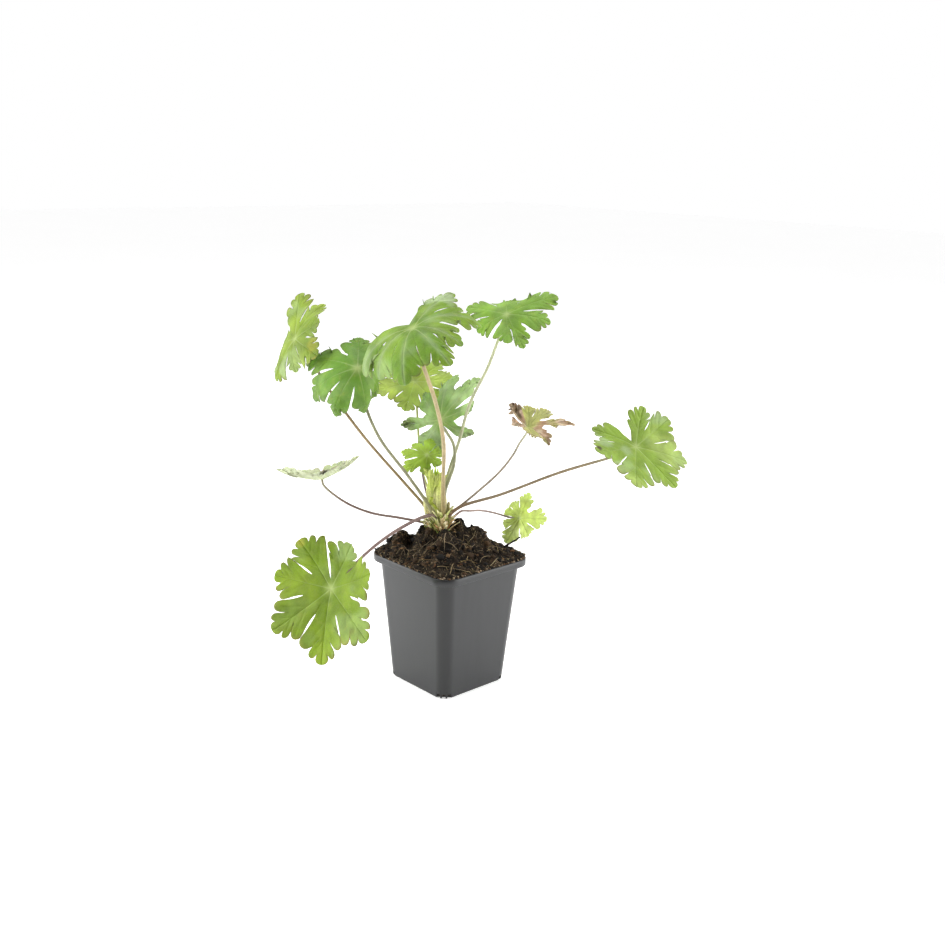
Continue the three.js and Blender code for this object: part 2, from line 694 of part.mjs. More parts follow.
function twigGeometry(grow = 0) {
  const from = new THREE.Vector3(...TWIG.from);
  const to = new THREE.Vector3(...TWIG.to);
  const radius = TWIG.radius + grow;
  const stick = new THREE.CylinderGeometry(radius * 0.7, radius, from.distanceTo(to) + 2 * grow, 6);
  return placed(stick, from.clone().lerp(to, 0.5), to.clone().sub(from));
}

function soilSolid() {
  let body = soilBody().subtract(crownBody(GAP)).subtract(toManifold(twigGeometry(GAP)));
  LEAVES.forEach((leaf) => {
    body = body.subtract(toManifold(stalkGeometry(leaf, GAP)));
  });
  return largestBody(body);
}

// ------------------------------------------------------------------ assembly

const plant = new THREE.Group();
plant.add(mesh('pot', toGeometry(potSolid()), 0x46494c, 0.55));
plant.add(mesh('soil', toGeometry(soilSolid()), 0x3a2b20, 1));
plant.add(mesh('crown', toGeometry(crownSolid()), 0xa9a05a, 0.9));
plant.add(mesh('twig', twigGeometry(), 0x2b2620, 0.9));
LEAVES.forEach((leaf) => {
  plant.add(mesh(`${leaf.name}_stalk`, stalkGeometry(leaf), leaf.stalk, 0.6));
  plant.add(mesh(`${leaf.name}_blade`, bladeGeometry(leaf), leaf.green, 0.65));
});

export default plant;
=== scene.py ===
"""Potted hardy geranium: looks, floor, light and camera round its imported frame."""
import math

import bmesh
import bpy
import numpy as np
from mathutils import Matrix, Vector


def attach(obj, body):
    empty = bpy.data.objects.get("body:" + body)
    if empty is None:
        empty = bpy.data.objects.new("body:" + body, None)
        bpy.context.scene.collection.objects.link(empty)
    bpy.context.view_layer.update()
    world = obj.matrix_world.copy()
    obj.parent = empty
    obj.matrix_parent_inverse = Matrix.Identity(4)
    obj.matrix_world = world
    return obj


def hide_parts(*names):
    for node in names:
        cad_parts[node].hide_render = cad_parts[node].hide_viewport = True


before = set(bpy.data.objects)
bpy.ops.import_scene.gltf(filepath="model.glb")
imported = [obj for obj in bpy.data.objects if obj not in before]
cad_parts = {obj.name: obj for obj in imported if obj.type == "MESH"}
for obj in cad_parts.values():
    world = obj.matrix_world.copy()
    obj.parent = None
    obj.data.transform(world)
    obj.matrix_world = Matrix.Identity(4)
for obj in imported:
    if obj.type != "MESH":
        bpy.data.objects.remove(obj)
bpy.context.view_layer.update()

MM = 0.001
TAU = 2 * math.pi

# ------------------------------------------------------------------ dimensions, in mm
GAP = 0.3
POT = dict(height=100, wall=1.2, floor=1.8, foot=32.5, foot_r=9, neck=40.2, neck_r=11,
           rim=45, rim_r=14, rim_depth=5.5, corner_steps=14, foot_round=1.1, rim_round=0.8,
           hem_round=0.25, edge=0.25)
OUTER_RINGS = (1.6, 3, 8, 14, 20, 30, 40, 50, 60, 70, 78, 85, 90, 93.5, 94.4)
INNER_RINGS = (96, 80, 60, 40, 20, 4, POT["floor"])
DRAIN = dict(height=3.6, width=2.8, pitch=4.1, reach=7, hole=4, offset=23, bevel=0.35)
SOIL = dict(spread=43.2, spread_r=12.5, lip=1.3, mound=23, power=1.1, apex=(-4, 3), lumps=60,
            lump_height=3, lump_r=4.5, lowest=0.8, angles=260, rings=84, crust=0.5, wobble=0.35)
BALL_RINGS = (POT["floor"] + GAP, 30, 60, 90, 98, POT["height"] + GAP)
# Clods that the photo shows: x, y, height, radius.
CLODS = [(-24.5, 31, 8, 7.5), (-21.5, 22, -8, 5.5), (-26.5, 16.5, -5.5, 5), (-16, 15, 4, 6),
         (17.5, -12.5, 7.5, 7.5), (8, -1.5, 8, 5), (22, 18, 4, 7), (-15, -14, 3, 7)]
CROWN = dict(centre=(-5, 4.5, 121), radius=7, height=12.5)
TWIG = dict(start=(30, -21, 101.5), end=(42, -33, 113.5), radius=0.9)
BLADE = dict(thickness=0.5, pleat=0.1, heel=0.12, cad_thickness=0.7, puff=0.42, quilt=0.1,
             rib=0.35, branch=0.2, groove=0.12)
STALK = dict(samples=90, sides=12, lead=4, steepest=60, hairs_per_mm=1.7, hair_r=(0.035, 0.012))
# Lobes from the heel round: direction in degrees, length as a share of the radius.
LOBE_ANGLES = (-146, -97, -47, 0, 47, 97, 146)
LOBE_LENGTHS = (0.74, 0.86, 0.95, 1, 0.95, 0.86, 0.74)
LOBE_BLEND, NOTCH_SHARE, NOTCH_VEIN = 0.42, 0.93, 0.17


def leaf(name, at, turn, radius, cone, heel, droop, length, swing, width, notch, stalk_r, path):
    """A leaf as its solid has it: its place and turn, bends, seven lobes and stalk."""
    return dict(name=name, at=at, turn=turn, radius=radius, cone=cone, heel=heel, droop=droop,
                length=length, swing=swing, width=width, notch=notch, stalk_r=stalk_r, path=path)


LEAVES = [
    leaf("leaf_01", [-66, 106, 256], [57, 33, -55], 44, 0, False,
         [32, 5, 56, -3, 36, 28, 76], [1.05, .8, .9, 1.1, .95, 1.05, .8],
         [-4, -7, 6, -8, 7, 4, 1], [1.15, 1.05, 1.05, 1.15, 1, 1.1, 1],
         [.39, .33, .34, .38, .45, .34], 1,
         [[-6.9, 9.2, 124], [-11.5, 15, 135], [-21, 29.5, 153], [-38, 57.5, 186],
          [-50, 89.5, 222.5], [-56, 102, 243]]),
    leaf("leaf_02", [-57, 40.5, 243], [150, -6, -54], 58, 22, False,
         [15, 35, 40, 70, 85, 100, 120], [1, 1, 1.15, 1.15, 1.05, .95, 1],
         [0, -5, 5, -3, -5, 3, 4], [1.1, .95, 1.15, 1.05, 1.15, .95, 1.1],
         [.37, .34, .39, .32, .27, .37], 1.1,
         [[-8.6, 6.5, 127], [-13, 10, 138], [-26, 20, 162], [-38, 38, 188], [-37, 56, 208],
          [-45, 52.5, 228]]),
    leaf("leaf_03", [-48, -10, 277], [-111, -8, 28], 58, -11, False,
         [51, 130, 84, 60, 115, 93, 27], [1.35, .95, .9, .9, .75, 1.1, 1.2],
         [26, 0, 8, 5, -8, -6, -22], [1.2, 1.1, 1.1, .9, .95, .85, .8],
         [.38, .28, .43, .39, .36, .37], 1.5,
         [[-6.6, .6, 126], [-7.5, .5, 143], [-10, -2, 161], [-15, -7, 192], [-25, -9, 222],
          [-38, -9, 252]]),
    leaf("leaf_04", [49, -3, 279], [-11, 32, 23], 40, 4, False,
         [0, 40, 42, 15, 54, 9, 50], [.9, .95, .9, 1.15, .95, 1.1, .9],
         [14, -15, 0, -10, 2, 10, 3], [.9, .9, 1.05, 1.2, 1.1, 1, 1.05],
         [.38, .37, .33, .37, .38, .37], 1,
         [[-1.1, 7.2, 126], [2, 10.5, 147], [8.5, 12, 162], [17.5, 11.5, 184], [23.5, 7.5, 212],
          [35, 1, 240], [43, -1, 260]]),
    leaf("leaf_05", [27, 76, 218], [-147, -39, -16], 38, -12, False,
         [-3, 11, 0, 5, 1, -25, 26], [1, 1.05, 1.05, .95, 1, .95, 1],
         [7, -1, 0, 0, 0, 2, -2], [.95, 1.05, 1.15, 1.05, 1.15, 1.05, 1],
         [.3, .33, .44, .44, .36, .33], .9,
         [[-3.4, 9.1, 125], [-4.5, 15, 138], [3.5, 39, 159], [16, 58, 183], [23, 69, 204]]),
    leaf("leaf_06", [1.5, 15, 201.5], [104, 76, -73], 61, 33, True,
         [94, 125, 40, 57, 50, 14, 14], [1, 1.05, 1.05, 1.1, .8, 1, 1],
         [-4, 20, 4, -1, 4, -4, -18], [.7, .65, .6, .65, .6, .5, .85],
         [.21, .26, .55, .37, .37, .23], 1.1,
         [[-3.1, 2.4, 127], [-1, 5.8, 148], [3.6, 6.2, 158], [7, 6, 166], [9, 7, 175],
          [9.3, 9.5, 183.5]]),
    leaf("leaf_07", [-12, 14.5, 176.5], [160, -40, -68], 27, 30, False,
         [45, 65, 35, 20, 55, 50, 40], [1, 1, 1, 1, 1, .95, 1],
         [-7, 8, -5, -9, 2, 11, 0], [.95, .9, .9, .9, .9, .9, .95],
         [.37, .37, .32, .49, .37, .37], .8,
         [[-4.8, 6.2, 128], [-8.4, 15.5, 140], [-7.2, 23, 152], [-3.4, 29.5, 159.6],
          [-4.6, 26.5, 168.5]]),
    leaf("leaf_08", [-10, 10.5, 145], [200, 8, -6], 24, -68, False,
         [10] * 7, [1] * 7, [0] * 7, [1.1] * 7, [.4] * 6, 1.5,
         [[-6.7, 3.9, 128], [-8.4, 7.4, 136]]),
    leaf("leaf_09", [31, -47, 203], [-37, -6, 20], 29, -26, False,
         [0, 15, 75, 30, 40, 40, -15], [.95, 1, .9, 1.2, 1, .95, 1],
         [6, 7, -7, 2, 6, -12, -1], [.6, .9, .9, .7, 1, 1, .6],
         [.37, .37, .41, .36, .37, .37], .9,
         [[-.8, 3.8, 127.5], [.2, 2.6, 131], [5.4, -4.2, 138], [12.5, -16, 151],
          [21, -29.5, 167.5], [26, -38, 181.5], [28.5, -42, 191]]),
    leaf("leaf_10", [82, -107, 193], [-84, -36, 11], 47, -4, False,
         [22, -15, -9, 5, 17, 1, -40], [1, 1.05, 1.05, .9, .95, 1.05, 1],
         [1, -1, -1, 1, 4, 4, -12], [.9, 1.1, 1.15, 1.05, 1.05, 1.1, .9],
         [.39, .38, .35, .41, .36, .4], 1,
         [[-3.4, -.8, 128], [-2, -1, 131.5], [3.1, -7, 138.5], [22, -30, 150], [50, -64, 170],
          [69, -89, 182]]),
    leaf("leaf_11", [61, -12.5, 120], [-35, -4, 74], 34, 46, False,
         [60, 0, 15, -10, 0, 50, 60], [1, 1.1, 1, 1.05, 1.1, .95, 1],
         [2, -8, -2, 0, 12, 0, -3], [.75, 1.1, 1.05, 1.15, .85, .95, .8],
         [.37, .37, .36, .4, .37, .37], .7,
         [[-.3, 4.6, 123], [6.8, 2.5, 128.5], [11.5, 1, 131.5], [22, 2.5, 129.5], [40, 8, 125],
          [48.5, 7, 122.5], [56.5, 5, 119.5], [62, -.5, 117.4]]),
    leaf("leaf_12", [-57, 85, 150], [127, -14, 6], 40, -7, False,
         [-27, -9, -3, -30, -45, -19, -32], [1.15, 1.1, .95, .95, .95, .95, 1],
         [-2, -3, 3, -1, 10, 7, -4], [1, 1, 1.05, 1.05, 1.05, .95, .9],
         [.34, .32, .32, .32, .4, .34], .8,
         [[-6.5, 8.5, 120], [-10, 14, 122.5], [-22, 31, 125], [-36, 52, 127], [-48, 69, 134]]),
    leaf("leaf_13", [-103, 11, 93], [-137, -64, 24], 57, -9, False,
         [-30, 2, -15, 9, -2, -33, -14], [1, .95, .95, .95, 1, 1, .9],
         [-2, -4, -3, 0, 0, 4, 0], [1.15, 1, 1.1, 1.05, 1.05, 1.05, 1],
         [.33, .4, .38, .38, .4, .36], 1.1,
         [[-9.9, 3.4, 128], [-14, 4.6, 132], [-20.5, 6.4, 132], [-31, 9, 129], [-54, 11, 121],
          [-80, 12, 107]]),
]

# ------------------------------------------------------------------ camera, in mm
EYE = np.array((-577.6, -641.5, 398.76))
LOOK = np.array((0.65858, 0.70547, -0.26188))
RIGHT = np.array((0.73554, -0.67698, 0.02605))
UP = np.array((0.15891, 0.20978, 0.96475))
PHOTO_PX, FOCAL_PX, SENSOR = 945, 1200, 36


def seen_along(px, py):
    """Direction from the eye through a pixel of the photograph."""
    middle = PHOTO_PX / 2
    return LOOK + RIGHT * (px - middle) / FOCAL_PX - UP * (py - middle) / FOCAL_PX


# ------------------------------------------------------------------ helpers
def random_from(seed):
    """The frame's own seeded draw, so that the compost's lumps lie where its solid has them."""
    full = 0xFFFFFFFF
    state = [seed & full]

    def draw():
        state[0] = (state[0] + 0x6D2B79F5) & full
        s = state[0]
        mixed = ((s ^ (s >> 15)) * (1 | s)) & full
        mixed = ((mixed + (mixed ^ (mixed >> 7)) * (61 | mixed)) & full) ^ mixed
        return ((mixed ^ (mixed >> 14)) & full) / 4294967296
    return draw


OCTAVE_SHIFT, SPAN_STEPS = 17.3, 25


def lattice(cell, seed):
    """Values from -1 to 1 on whole-number places."""
    h = (cell[..., 0] * 374761393 + cell[..., 1] * 668265263 + cell[..., 2] * 1440662683
         + seed * 974711) & 0xFFFFFFFF
    h = ((h ^ (h >> 13)) * 1274126177) & 0xFFFFFFFF
    return ((h ^ (h >> 16)) & 0xFFFFFF) / 0x7FFFFF - 1


def noise(points, size, seed=0, octaves=1):
    """Smooth noise from about -1 to 1 at points (n, 2 or 3), with features of that size."""
    points = np.asarray(points, float)
    if points.shape[-1] == 2:
        points = np.concatenate([points, np.zeros(points.shape[:-1] + (1,))], -1)
    total, weight, full = 0, 1, 0
    for octave in range(octaves):
        at = points / size * 2 ** octave + OCTAVE_SHIFT * octave
        cell = np.floor(at).astype(np.int64)
        f = at - cell
        f = f * f * (3 - 2 * f)
        value = 0
        for corner in range(8):
            step = np.array([(corner >> k) & 1 for k in range(3)])
            share = np.prod(np.where(step == 1, f, 1 - f), -1)
            value = value + share * lattice(cell + step, seed + octave)
        total, full, weight = total + weight * value, full + weight, weight / 2
    return total / full


def smooth(low, high, x):
    """Soft step from 0 at low to 1 at high."""
    t = np.clip((np.asarray(x, float) - low) / (high - low), 0, 1)
    return t * t * (3 - 2 * t)


def mix(a, b, share):
    """From a to b by a share, which may differ from point to point."""
    share = np.asarray(share, float)[..., None]
    return np.asarray(a, float) * (1 - share) + np.asarray(b, float) * share


def unit(v):
    """Vectors scaled to length 1."""
    v = np.asarray(v, float)
    return v / np.maximum(np.linalg.norm(v, axis=-1, keepdims=True), 1e-12)


def rgb(text):
    """Linear colour from sRGB hex digits."""
    c = np.array([int(text[i:i + 2], 16) for i in (0, 2, 4)]) / 255
    return np.where(c <= 0.04045, c / 12.92, ((c + 0.055) / 1.055) ** 2.4)


def vertex_normals(points, faces):
    """Area-weighted normals of a mesh of quads and triangles (a triangle repeats a corner)."""
    a, b, c, d = (points[faces[:, k]] for k in range(4))
    flat = np.cross(c - a, d - b)
    out = np.zeros_like(points)
    for k in range(4):
        np.add.at(out, faces[:, k], flat)
    return unit(out)


def lofted(rings, sides):
    """Faces of a closed skin over rings of points, with its two end points after the rings."""
    faces = []
    for ring in range(rings - 1):
        for k in range(sides):
            a, b = ring * sides + k, ring * sides + (k + 1) % sides
            faces.append((a, b, b + sides, a + sides))
    low, last = rings * sides, (rings - 1) * sides
    for k in range(sides):
        faces.append((low, (k + 1) % sides, k))
        faces.append((low + 1, last + k, last + (k + 1) % sides))
    return faces


def mesh_of(name, points, faces):
    """Mesh from points in mm."""
    mesh = bpy.data.meshes.new(name)
    mesh.from_pydata((np.asarray(points) * MM).tolist(), [], faces)
    return mesh


def linked(name, data):
    """A new object in the scene."""
    made = bpy.data.objects.new(name, data)
    bpy.context.scene.collection.objects.link(made)
    return made


class Shape:
    """Collects parts of one mesh: points in mm, faces, and a value of each attribute per point."""

    def __init__(self, **kinds):
        self.kinds = kinds
        self.points, self.faces = [], []
        self.values = {key: [] for key in kinds}
        self.count = 0

    def add(self, points, faces, **values):
        """Adds a part; each attribute has one value for all its points or one for each."""
        points = np.asarray(points, float)
        self.points.append(points)
        self.faces += [[i + self.count for i in face] for face in faces]
        for key, size in self.kinds.items():
            value = np.asarray(values[key], float)
            self.values[key].append(np.broadcast_to(value, (len(points), size)))
        self.count += len(points)

    def piece(self, name, material, slot, *nodes):
        """The collected mesh as a piece on the root body, in place of the nodes named."""
        mesh = mesh_of(name, np.concatenate(self.points), self.faces)
        for key in self.kinds:
            data = np.concatenate(self.values[key])
            if key == "tint":
                layer = mesh.attributes.new(key, "FLOAT_COLOR", "POINT")
                data = np.concatenate([data, np.ones((len(data), 1))], 1)
                layer.data.foreach_set("color", data.astype(np.float32).ravel())
            else:
                layer = mesh.attributes.new(key, "FLOAT_VECTOR", "POINT")
                layer.data.foreach_set("vector", data.astype(np.float32).ravel())
        mesh.materials.append(material)
        mesh.update()
        mesh.shade_smooth()
        made = linked(name, mesh)
        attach(made, "root")
        if nodes:
            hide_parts(*nodes)
        return made


def tube(points, radii, sides, around=None):
    """Closed tube along points with a radius at each: (points, faces, turn, length so far)."""
    points = np.asarray(points, float)
    radii = np.broadcast_to(np.asarray(radii, float), (len(points),))
    along = unit(np.gradient(points, axis=0))
    side = np.cross(along[0], (0.3, 0.2, 0.93) if around is None else around)
    frames = []
    for direction in along:
        side = unit(side - direction * (side @ direction))
        frames.append((side, np.cross(direction, side)))
    turn = TAU * np.arange(sides) / sides
    rings = [p + r * (np.cos(turn)[:, None] * u + np.sin(turn)[:, None] * v)
             for p, r, (u, v) in zip(points, radii, frames)]
    body = np.concatenate(rings + [points[:1], points[-1:]])
    steps = np.linalg.norm(np.diff(points, axis=0), axis=1)
    so_far = np.concatenate([[0], np.cumsum(steps)])
    run = np.concatenate([np.repeat(so_far, sides), so_far[[0, -1]]])
    turns = np.concatenate([np.tile(turn, len(points)), [0, 0]])
    return body, lofted(len(points), sides), turns, run


def catmull(points, samples):
    """Even samples of a centripetal Catmull-Rom curve through points, as (samples, size)."""
    points = np.asarray(points, float)
    padded = np.concatenate([[2 * points[0] - points[1]], points, [2 * points[-1] - points[-2]]])
    fine = []
    for k in range(len(points) - 1):
        p0, p1, p2, p3 = padded[k:k + 4]
        d0, d1, d2 = (max(np.sum((b - a) ** 2) ** 0.25, 1e-4)
                      for a, b in ((p0, p1), (p1, p2), (p2, p3)))
        t1 = ((p1 - p0) / d0 - (p2 - p0) / (d0 + d1) + (p2 - p1) / d1) * d1
        t2 = ((p2 - p1) / d1 - (p3 - p1) / (d1 + d2) + (p3 - p2) / d2) * d1
        w = np.linspace(0, 1, SPAN_STEPS)[:, None][(1 if k else 0):]
        fine.append(p1 + t1 * w + (3 * (p2 - p1) - 2 * t1 - t2) * w ** 2
                    + (2 * (p1 - p2) + t1 + t2) * w ** 3)
    fine = np.concatenate(fine)
    run = np.concatenate([[0], np.cumsum(np.linalg.norm(np.diff(fine, axis=0), axis=1))])
    at = np.linspace(0, run[-1], samples)
    return np.stack([np.interp(at, run, fine[:, k]) for k in range(points.shape[1])], 1)


# ------------------------------------------------------------------ materials
class Tree:
    """Short calls for building the nodes of a material or of the world."""

    def __init__(self, name, world=False):
        self.owner = (bpy.data.worlds if world else bpy.data.materials).new(name)
        self.owner.use_nodes = True
        self.tree = self.owner.node_tree
        self.tree.nodes.clear()

    def node(self, kind, inputs=None, **settings):
        """A node with its settings made first, then its inputs."""
        made = self.tree.nodes.new("ShaderNode" + kind)
        for key, value in settings.items():
            setattr(made, key, value)
        for key, value in (inputs or {}).items():
            self.put(made.inputs[key], value)
        return made

    def put(self, socket, value):
        """Links a node or an output to a socket, or sets the socket's own value."""
        if isinstance(value, bpy.types.NodeSocket):
            self.tree.links.new(value, socket)
        elif isinstance(value, bpy.types.Node):
            self.tree.links.new(value.outputs[0], socket)
        elif hasattr(value, "__len__") and socket.type == "RGBA" and len(value) == 3:
            socket.default_value = (*value, 1)
        else:
            socket.default_value = value

    def attribute(self, name, output="Vector"):
        return self.node("Attribute", attribute_name=name).outputs[output]

    def math(self, how, a, b=0.0):
        return self.node("Math", {0: a, 1: b}, operation=how).outputs[0]

    def times(self, a, b):
        return self.math("MULTIPLY", a, b)

    def plus(self, a, b):
        return self.math("ADD", a, b)

    def mapped(self, value, low, high, out_low=0.0, out_high=1.0):
        """Soft step of a value from out_low at low to out_high at high."""
        spans = {"Value": value, "From Min": low, "From Max": high, "To Min": out_low,
                 "To Max": out_high}
        return self.node("MapRange", spans, interpolation_type="SMOOTHSTEP").outputs[0]

    def blend(self, share, a, b, how="MIX"):
        """Colour a mixed with colour b; the mix node's colour sockets are 6, 7 and out 2."""
        made = self.node("Mix", data_type="RGBA", blend_type=how)
        for socket, value in ((0, share), (6, a), (7, b)):
            self.put(made.inputs[socket], value)
        return made.outputs[2]

    def noise(self, vector, scale, detail=3.0, roughness=0.5):
        return self.node("TexNoise", {"Vector": vector, "Scale": scale, "Detail": detail,
                                      "Roughness": roughness}).outputs["Fac"]

    def cells(self, vector, scale, feature="F1", output="Distance"):
        return self.node("TexVoronoi", {"Vector": vector, "Scale": scale},
                         feature=feature).outputs[output]

    def scaled(self, vector, by):
        return self.node("VectorMath", {0: vector, 1: by}, operation="MULTIPLY").outputs[0]

    def parts(self, vector):
        """The X, Y and Z of a vector."""
        return self.node("SeparateXYZ", {0: vector}).outputs

    def place(self, scale=1000.0):
        """Place on the object, in mm by default."""
        return self.scaled(self.node("TexCoord").outputs["Object"], (scale,) * 3)

    def bump(self, height, strength, distance, under=None):
        """Normals raised by a height; distance in m."""
        made = self.node("Bump", {"Height": height, "Strength": strength, "Distance": distance})
        if under is not None:
            self.put(made.inputs["Normal"], under)
        return made.outputs[0]

    def principled(self, colour, roughness, normal=None, **plain):
        """The surface; other inputs by name, with _ for each space."""
        made = self.node("BsdfPrincipled", {"Base Color": colour, "Roughness": roughness})
        for key, value in plain.items():
            self.put(made.inputs[key.replace("_", " ")], value)
        if normal is not None:
            self.put(made.inputs["Normal"], normal)
        return made.outputs[0]

    def done(self, surface, kind="Material"):
        """The finished material, or world."""
        self.node("Output" + kind, {"Surface": surface})
        return self.owner


# Linear colours that the materials mix in; the soil's near-black for its hollows is painted shade.
LEAF_PAINT = dict(yellowed=(0.42, 0.46, 0.07), net=(0.34, 0.44, 0.12), vein=(0.5, 0.6, 0.24),
                  glow=(0.36, 0.5, 0.02), sheen=(0.9, 0.92, 0.75))
SOIL_PAINT = dict(dark=(0.004, 0.003, 0.0022), brown=(0.044, 0.031, 0.0185),
                  red=(0.06, 0.037, 0.019), tan=(0.26, 0.2, 0.125), black=(0.004, 0.003, 0.002),
                  straw=(0.17, 0.13, 0.085), hollow=(0.006, 0.005, 0.004))
POT_PAINT = dict(low=(0.0150, 0.0157, 0.0172), high=(0.0195, 0.0204, 0.0222),
                 scuff=(0.075, 0.076, 0.078), dust=(0.09, 0.055, 0.032))
FLOOR_GREYS = (0.93,) * 3, (0.95,) * 3


def blade_material():
    """Soft green leaf: tint, pale veins, a fine net between them, and light shining through."""
    t = Tree("geranium_blade")
    tint = t.attribute("tint", "Color")
    flat = t.attribute("flat")
    rib, side, pale = t.parts(t.attribute("vein"))
    main = t.mapped(rib, 0.15, 0.7, 1, 0)
    branch = t.mapped(side, 0.08, 0.4, 0.6, 0)
    lines = t.math("MAXIMUM", main, branch)
    net = t.cells(flat, 0.62, "DISTANCE_TO_EDGE")
    fine = t.cells(flat, 1.9, "DISTANCE_TO_EDGE")
    mesh_lines = t.mapped(net, 0.0, 0.11, 1, 0)
    cloud = t.noise(flat, 0.09, 4)
    grain = t.noise(flat, 1.3, 5, 0.65)
    shade = t.mapped(cloud, 0.3, 0.7, 0.8, 1.14)
    shade = t.times(shade, t.mapped(grain, 0.25, 0.75, 0.86, 1.1))
    base = t.blend(1.0, tint, shade, "MULTIPLY")
    yellowed = t.blend(t.mapped(t.noise(flat, 0.22, 3), 0.5, 0.8, 0, 0.3), base,
                       LEAF_PAINT["yellowed"])
    netted = t.blend(t.times(mesh_lines, 0.14), yellowed, LEAF_PAINT["net"])
    ribbed = t.blend(t.times(lines, pale), netted, LEAF_PAINT["vein"])
    height = t.plus(t.times(mesh_lines, -0.5), t.times(lines, -1.0))
    height = t.plus(height, t.times(t.mapped(fine, 0, 0.3), 0.3))
    height = t.plus(height, t.times(grain, 0.5))
    normal = t.bump(height, 0.55, 0.00022)
    rough = t.mapped(grain, 0.3, 0.7, 0.46, 0.66)
    skin = t.principled(ribbed, rough, normal, Specular_IOR_Level=0.35, Sheen_Weight=0.22,
                        Sheen_Roughness=0.35, Sheen_Tint=LEAF_PAINT["sheen"])
    through = t.blend(0.3, ribbed, LEAF_PAINT["glow"])
    glow = t.node("BsdfTranslucent", {"Color": through, "Normal": normal})
    both = t.node("MixShader", {0: 0.3, 1: skin, 2: glow})
    return t.done(both.outputs[0])


def tinted_material(name, grain_scale, contrast, rough, bump, distance, sheen=0.0, stretch=None):
    """Matte natural surface that takes its colour from the tint of its points."""
    t = Tree(name)
    tint = t.attribute("tint", "Color")
    where = t.scaled(t.attribute("flat"), stretch) if stretch else t.place()
    grain = t.noise(where, grain_scale, 5, 0.62)
    broad = t.noise(where, grain_scale * 0.17, 3)
    shade = t.times(t.mapped(grain, 0.25, 0.75, 1 - contrast, 1 + contrast),
                    t.mapped(broad, 0.3, 0.7, 1 - contrast / 2, 1 + contrast / 2))
    colour = t.blend(1.0, tint, shade, "MULTIPLY")
    normal = t.bump(grain, bump, distance)
    roughness = t.mapped(grain, 0.3, 0.7, rough - 0.08, rough + 0.08)
    return t.done(t.principled(colour, roughness, normal, Sheen_Weight=sheen,
                               Sheen_Roughness=0.4, Specular_IOR_Level=0.3))


def soil_material():
    """Dark fibrous compost with brown, reddish and tan flecks, and painted shade in its hollows."""
    t = Tree("fibrous_compost")
    where = t.place()
    grain = t.noise(where, 0.9, 7, 0.72)
    broad = t.noise(where, 0.12, 4)
    fleck = t.cells(where, 1.1, "F1", "Color")
    fleck = t.node("SeparateColor", {0: fleck})
    strand = t.noise(t.scaled(where, (1.0, 0.16, 0.5)), 1.6, 4, 0.6)
    colour = t.blend(t.mapped(grain, 0.3, 0.68), SOIL_PAINT["dark"], SOIL_PAINT["brown"])
    for value, low, high, most, paint in ((broad, 0.42, 0.66, 0.4, "red"),
                                          (fleck.outputs[0], 0.86, 0.95, 0.65, "tan"),
                                          (fleck.outputs[1], 0.88, 0.96, 0.7, "black"),
                                          (strand, 0.6, 0.68, 0.55, "straw")):
        colour = t.blend(t.mapped(value, low, high, 0, most), colour, SOIL_PAINT[paint])
    patch = t.mapped(t.noise(where, 0.1, 2), 0.4, 0.58, 0.3, 1.35)
    colour = t.blend(1.0, colour, patch, "MULTIPLY")
    # Painted shade: near-black laid into the hollows, where the surface curves inward.
    hollow = t.mapped(t.node("NewGeometry").outputs["Pointiness"], 0.45, 0.51, 1, 0)
    colour = t.blend(t.times(hollow, 0.85), colour, SOIL_PAINT["hollow"])
    height = t.plus(grain, t.times(strand, 0.5))
    normal = t.bump(height, 1.0, 0.0012)
    return t.done(t.principled(colour, t.mapped(grain, 0.3, 0.7, 0.85, 1.0), normal,
                               Specular_IOR_Level=0.2))


def pot_material():
    """Dark slate-grey moulded plastic: flow marks, scuffs, painted shade on the four corners, dust
    near the rim.
    """
    t = Tree("slate_moulded_plastic")
    where = t.place()
    flow = t.noise(t.scaled(where, (1.0, 1.0, 0.12)), 0.16, 5, 0.55)
    grain = t.noise(where, 2.6, 4, 0.6)
    scuff = t.noise(t.scaled(where, (0.5, 0.5, 0.1)), 1.9, 6, 0.7)
    x, y, height = t.parts(where)
    colour = t.blend(t.mapped(flow, 0.3, 0.7), POT_PAINT["low"], POT_PAINT["high"])
    colour = t.blend(t.mapped(scuff, 0.62, 0.78, 0, 0.3), colour, POT_PAINT["scuff"])
    # Painted shade: the colour is darkened to half towards the four rounded corners.
    x, y = t.math("ABSOLUTE", x), t.math("ABSOLUTE", y)
    corner = t.math("DIVIDE", t.math("MINIMUM", x, y), t.math("MAXIMUM", x, y))
    colour = t.blend(1.0, colour, t.mapped(corner, 0.72, 0.86, 1, 0.5), "MULTIPLY")
    speck = t.cells(where, 0.8, "F1")
    dust = t.times(t.mapped(speck, 0.1, 0.22, 0.75, 0), t.mapped(height, 80, 99))
    dust = t.times(dust, t.mapped(t.noise(where, 0.35, 3), 0.5, 0.62))
    colour = t.blend(dust, colour, POT_PAINT["dust"])
    rough = t.plus(t.mapped(flow, 0.3, 0.7, 0.34, 0.42), t.times(dust, 0.3))
    bump = t.bump(grain, 0.12, 0.0001)
    bump = t.bump(flow, 0.08, 0.0004, bump)
    return t.done(t.principled(colour, rough, bump, Specular_IOR_Level=0.5))


def floor_material():
    """Pale, faintly uneven floor that glows a little, as a lit studio sweep does."""
    t = Tree("pale_studio_floor")
    where = t.place(1.0)
    colour = t.blend(t.mapped(t.noise(where, 3.0, 3), 0.3, 0.7), *FLOOR_GREYS)
    rough = t.mapped(t.noise(where, 40, 2), 0.3, 0.7, 0.6, 0.7)
    return t.done(t.principled(colour, rough, Emission_Color=(1, 1, 1), Emission_Strength=0.55))


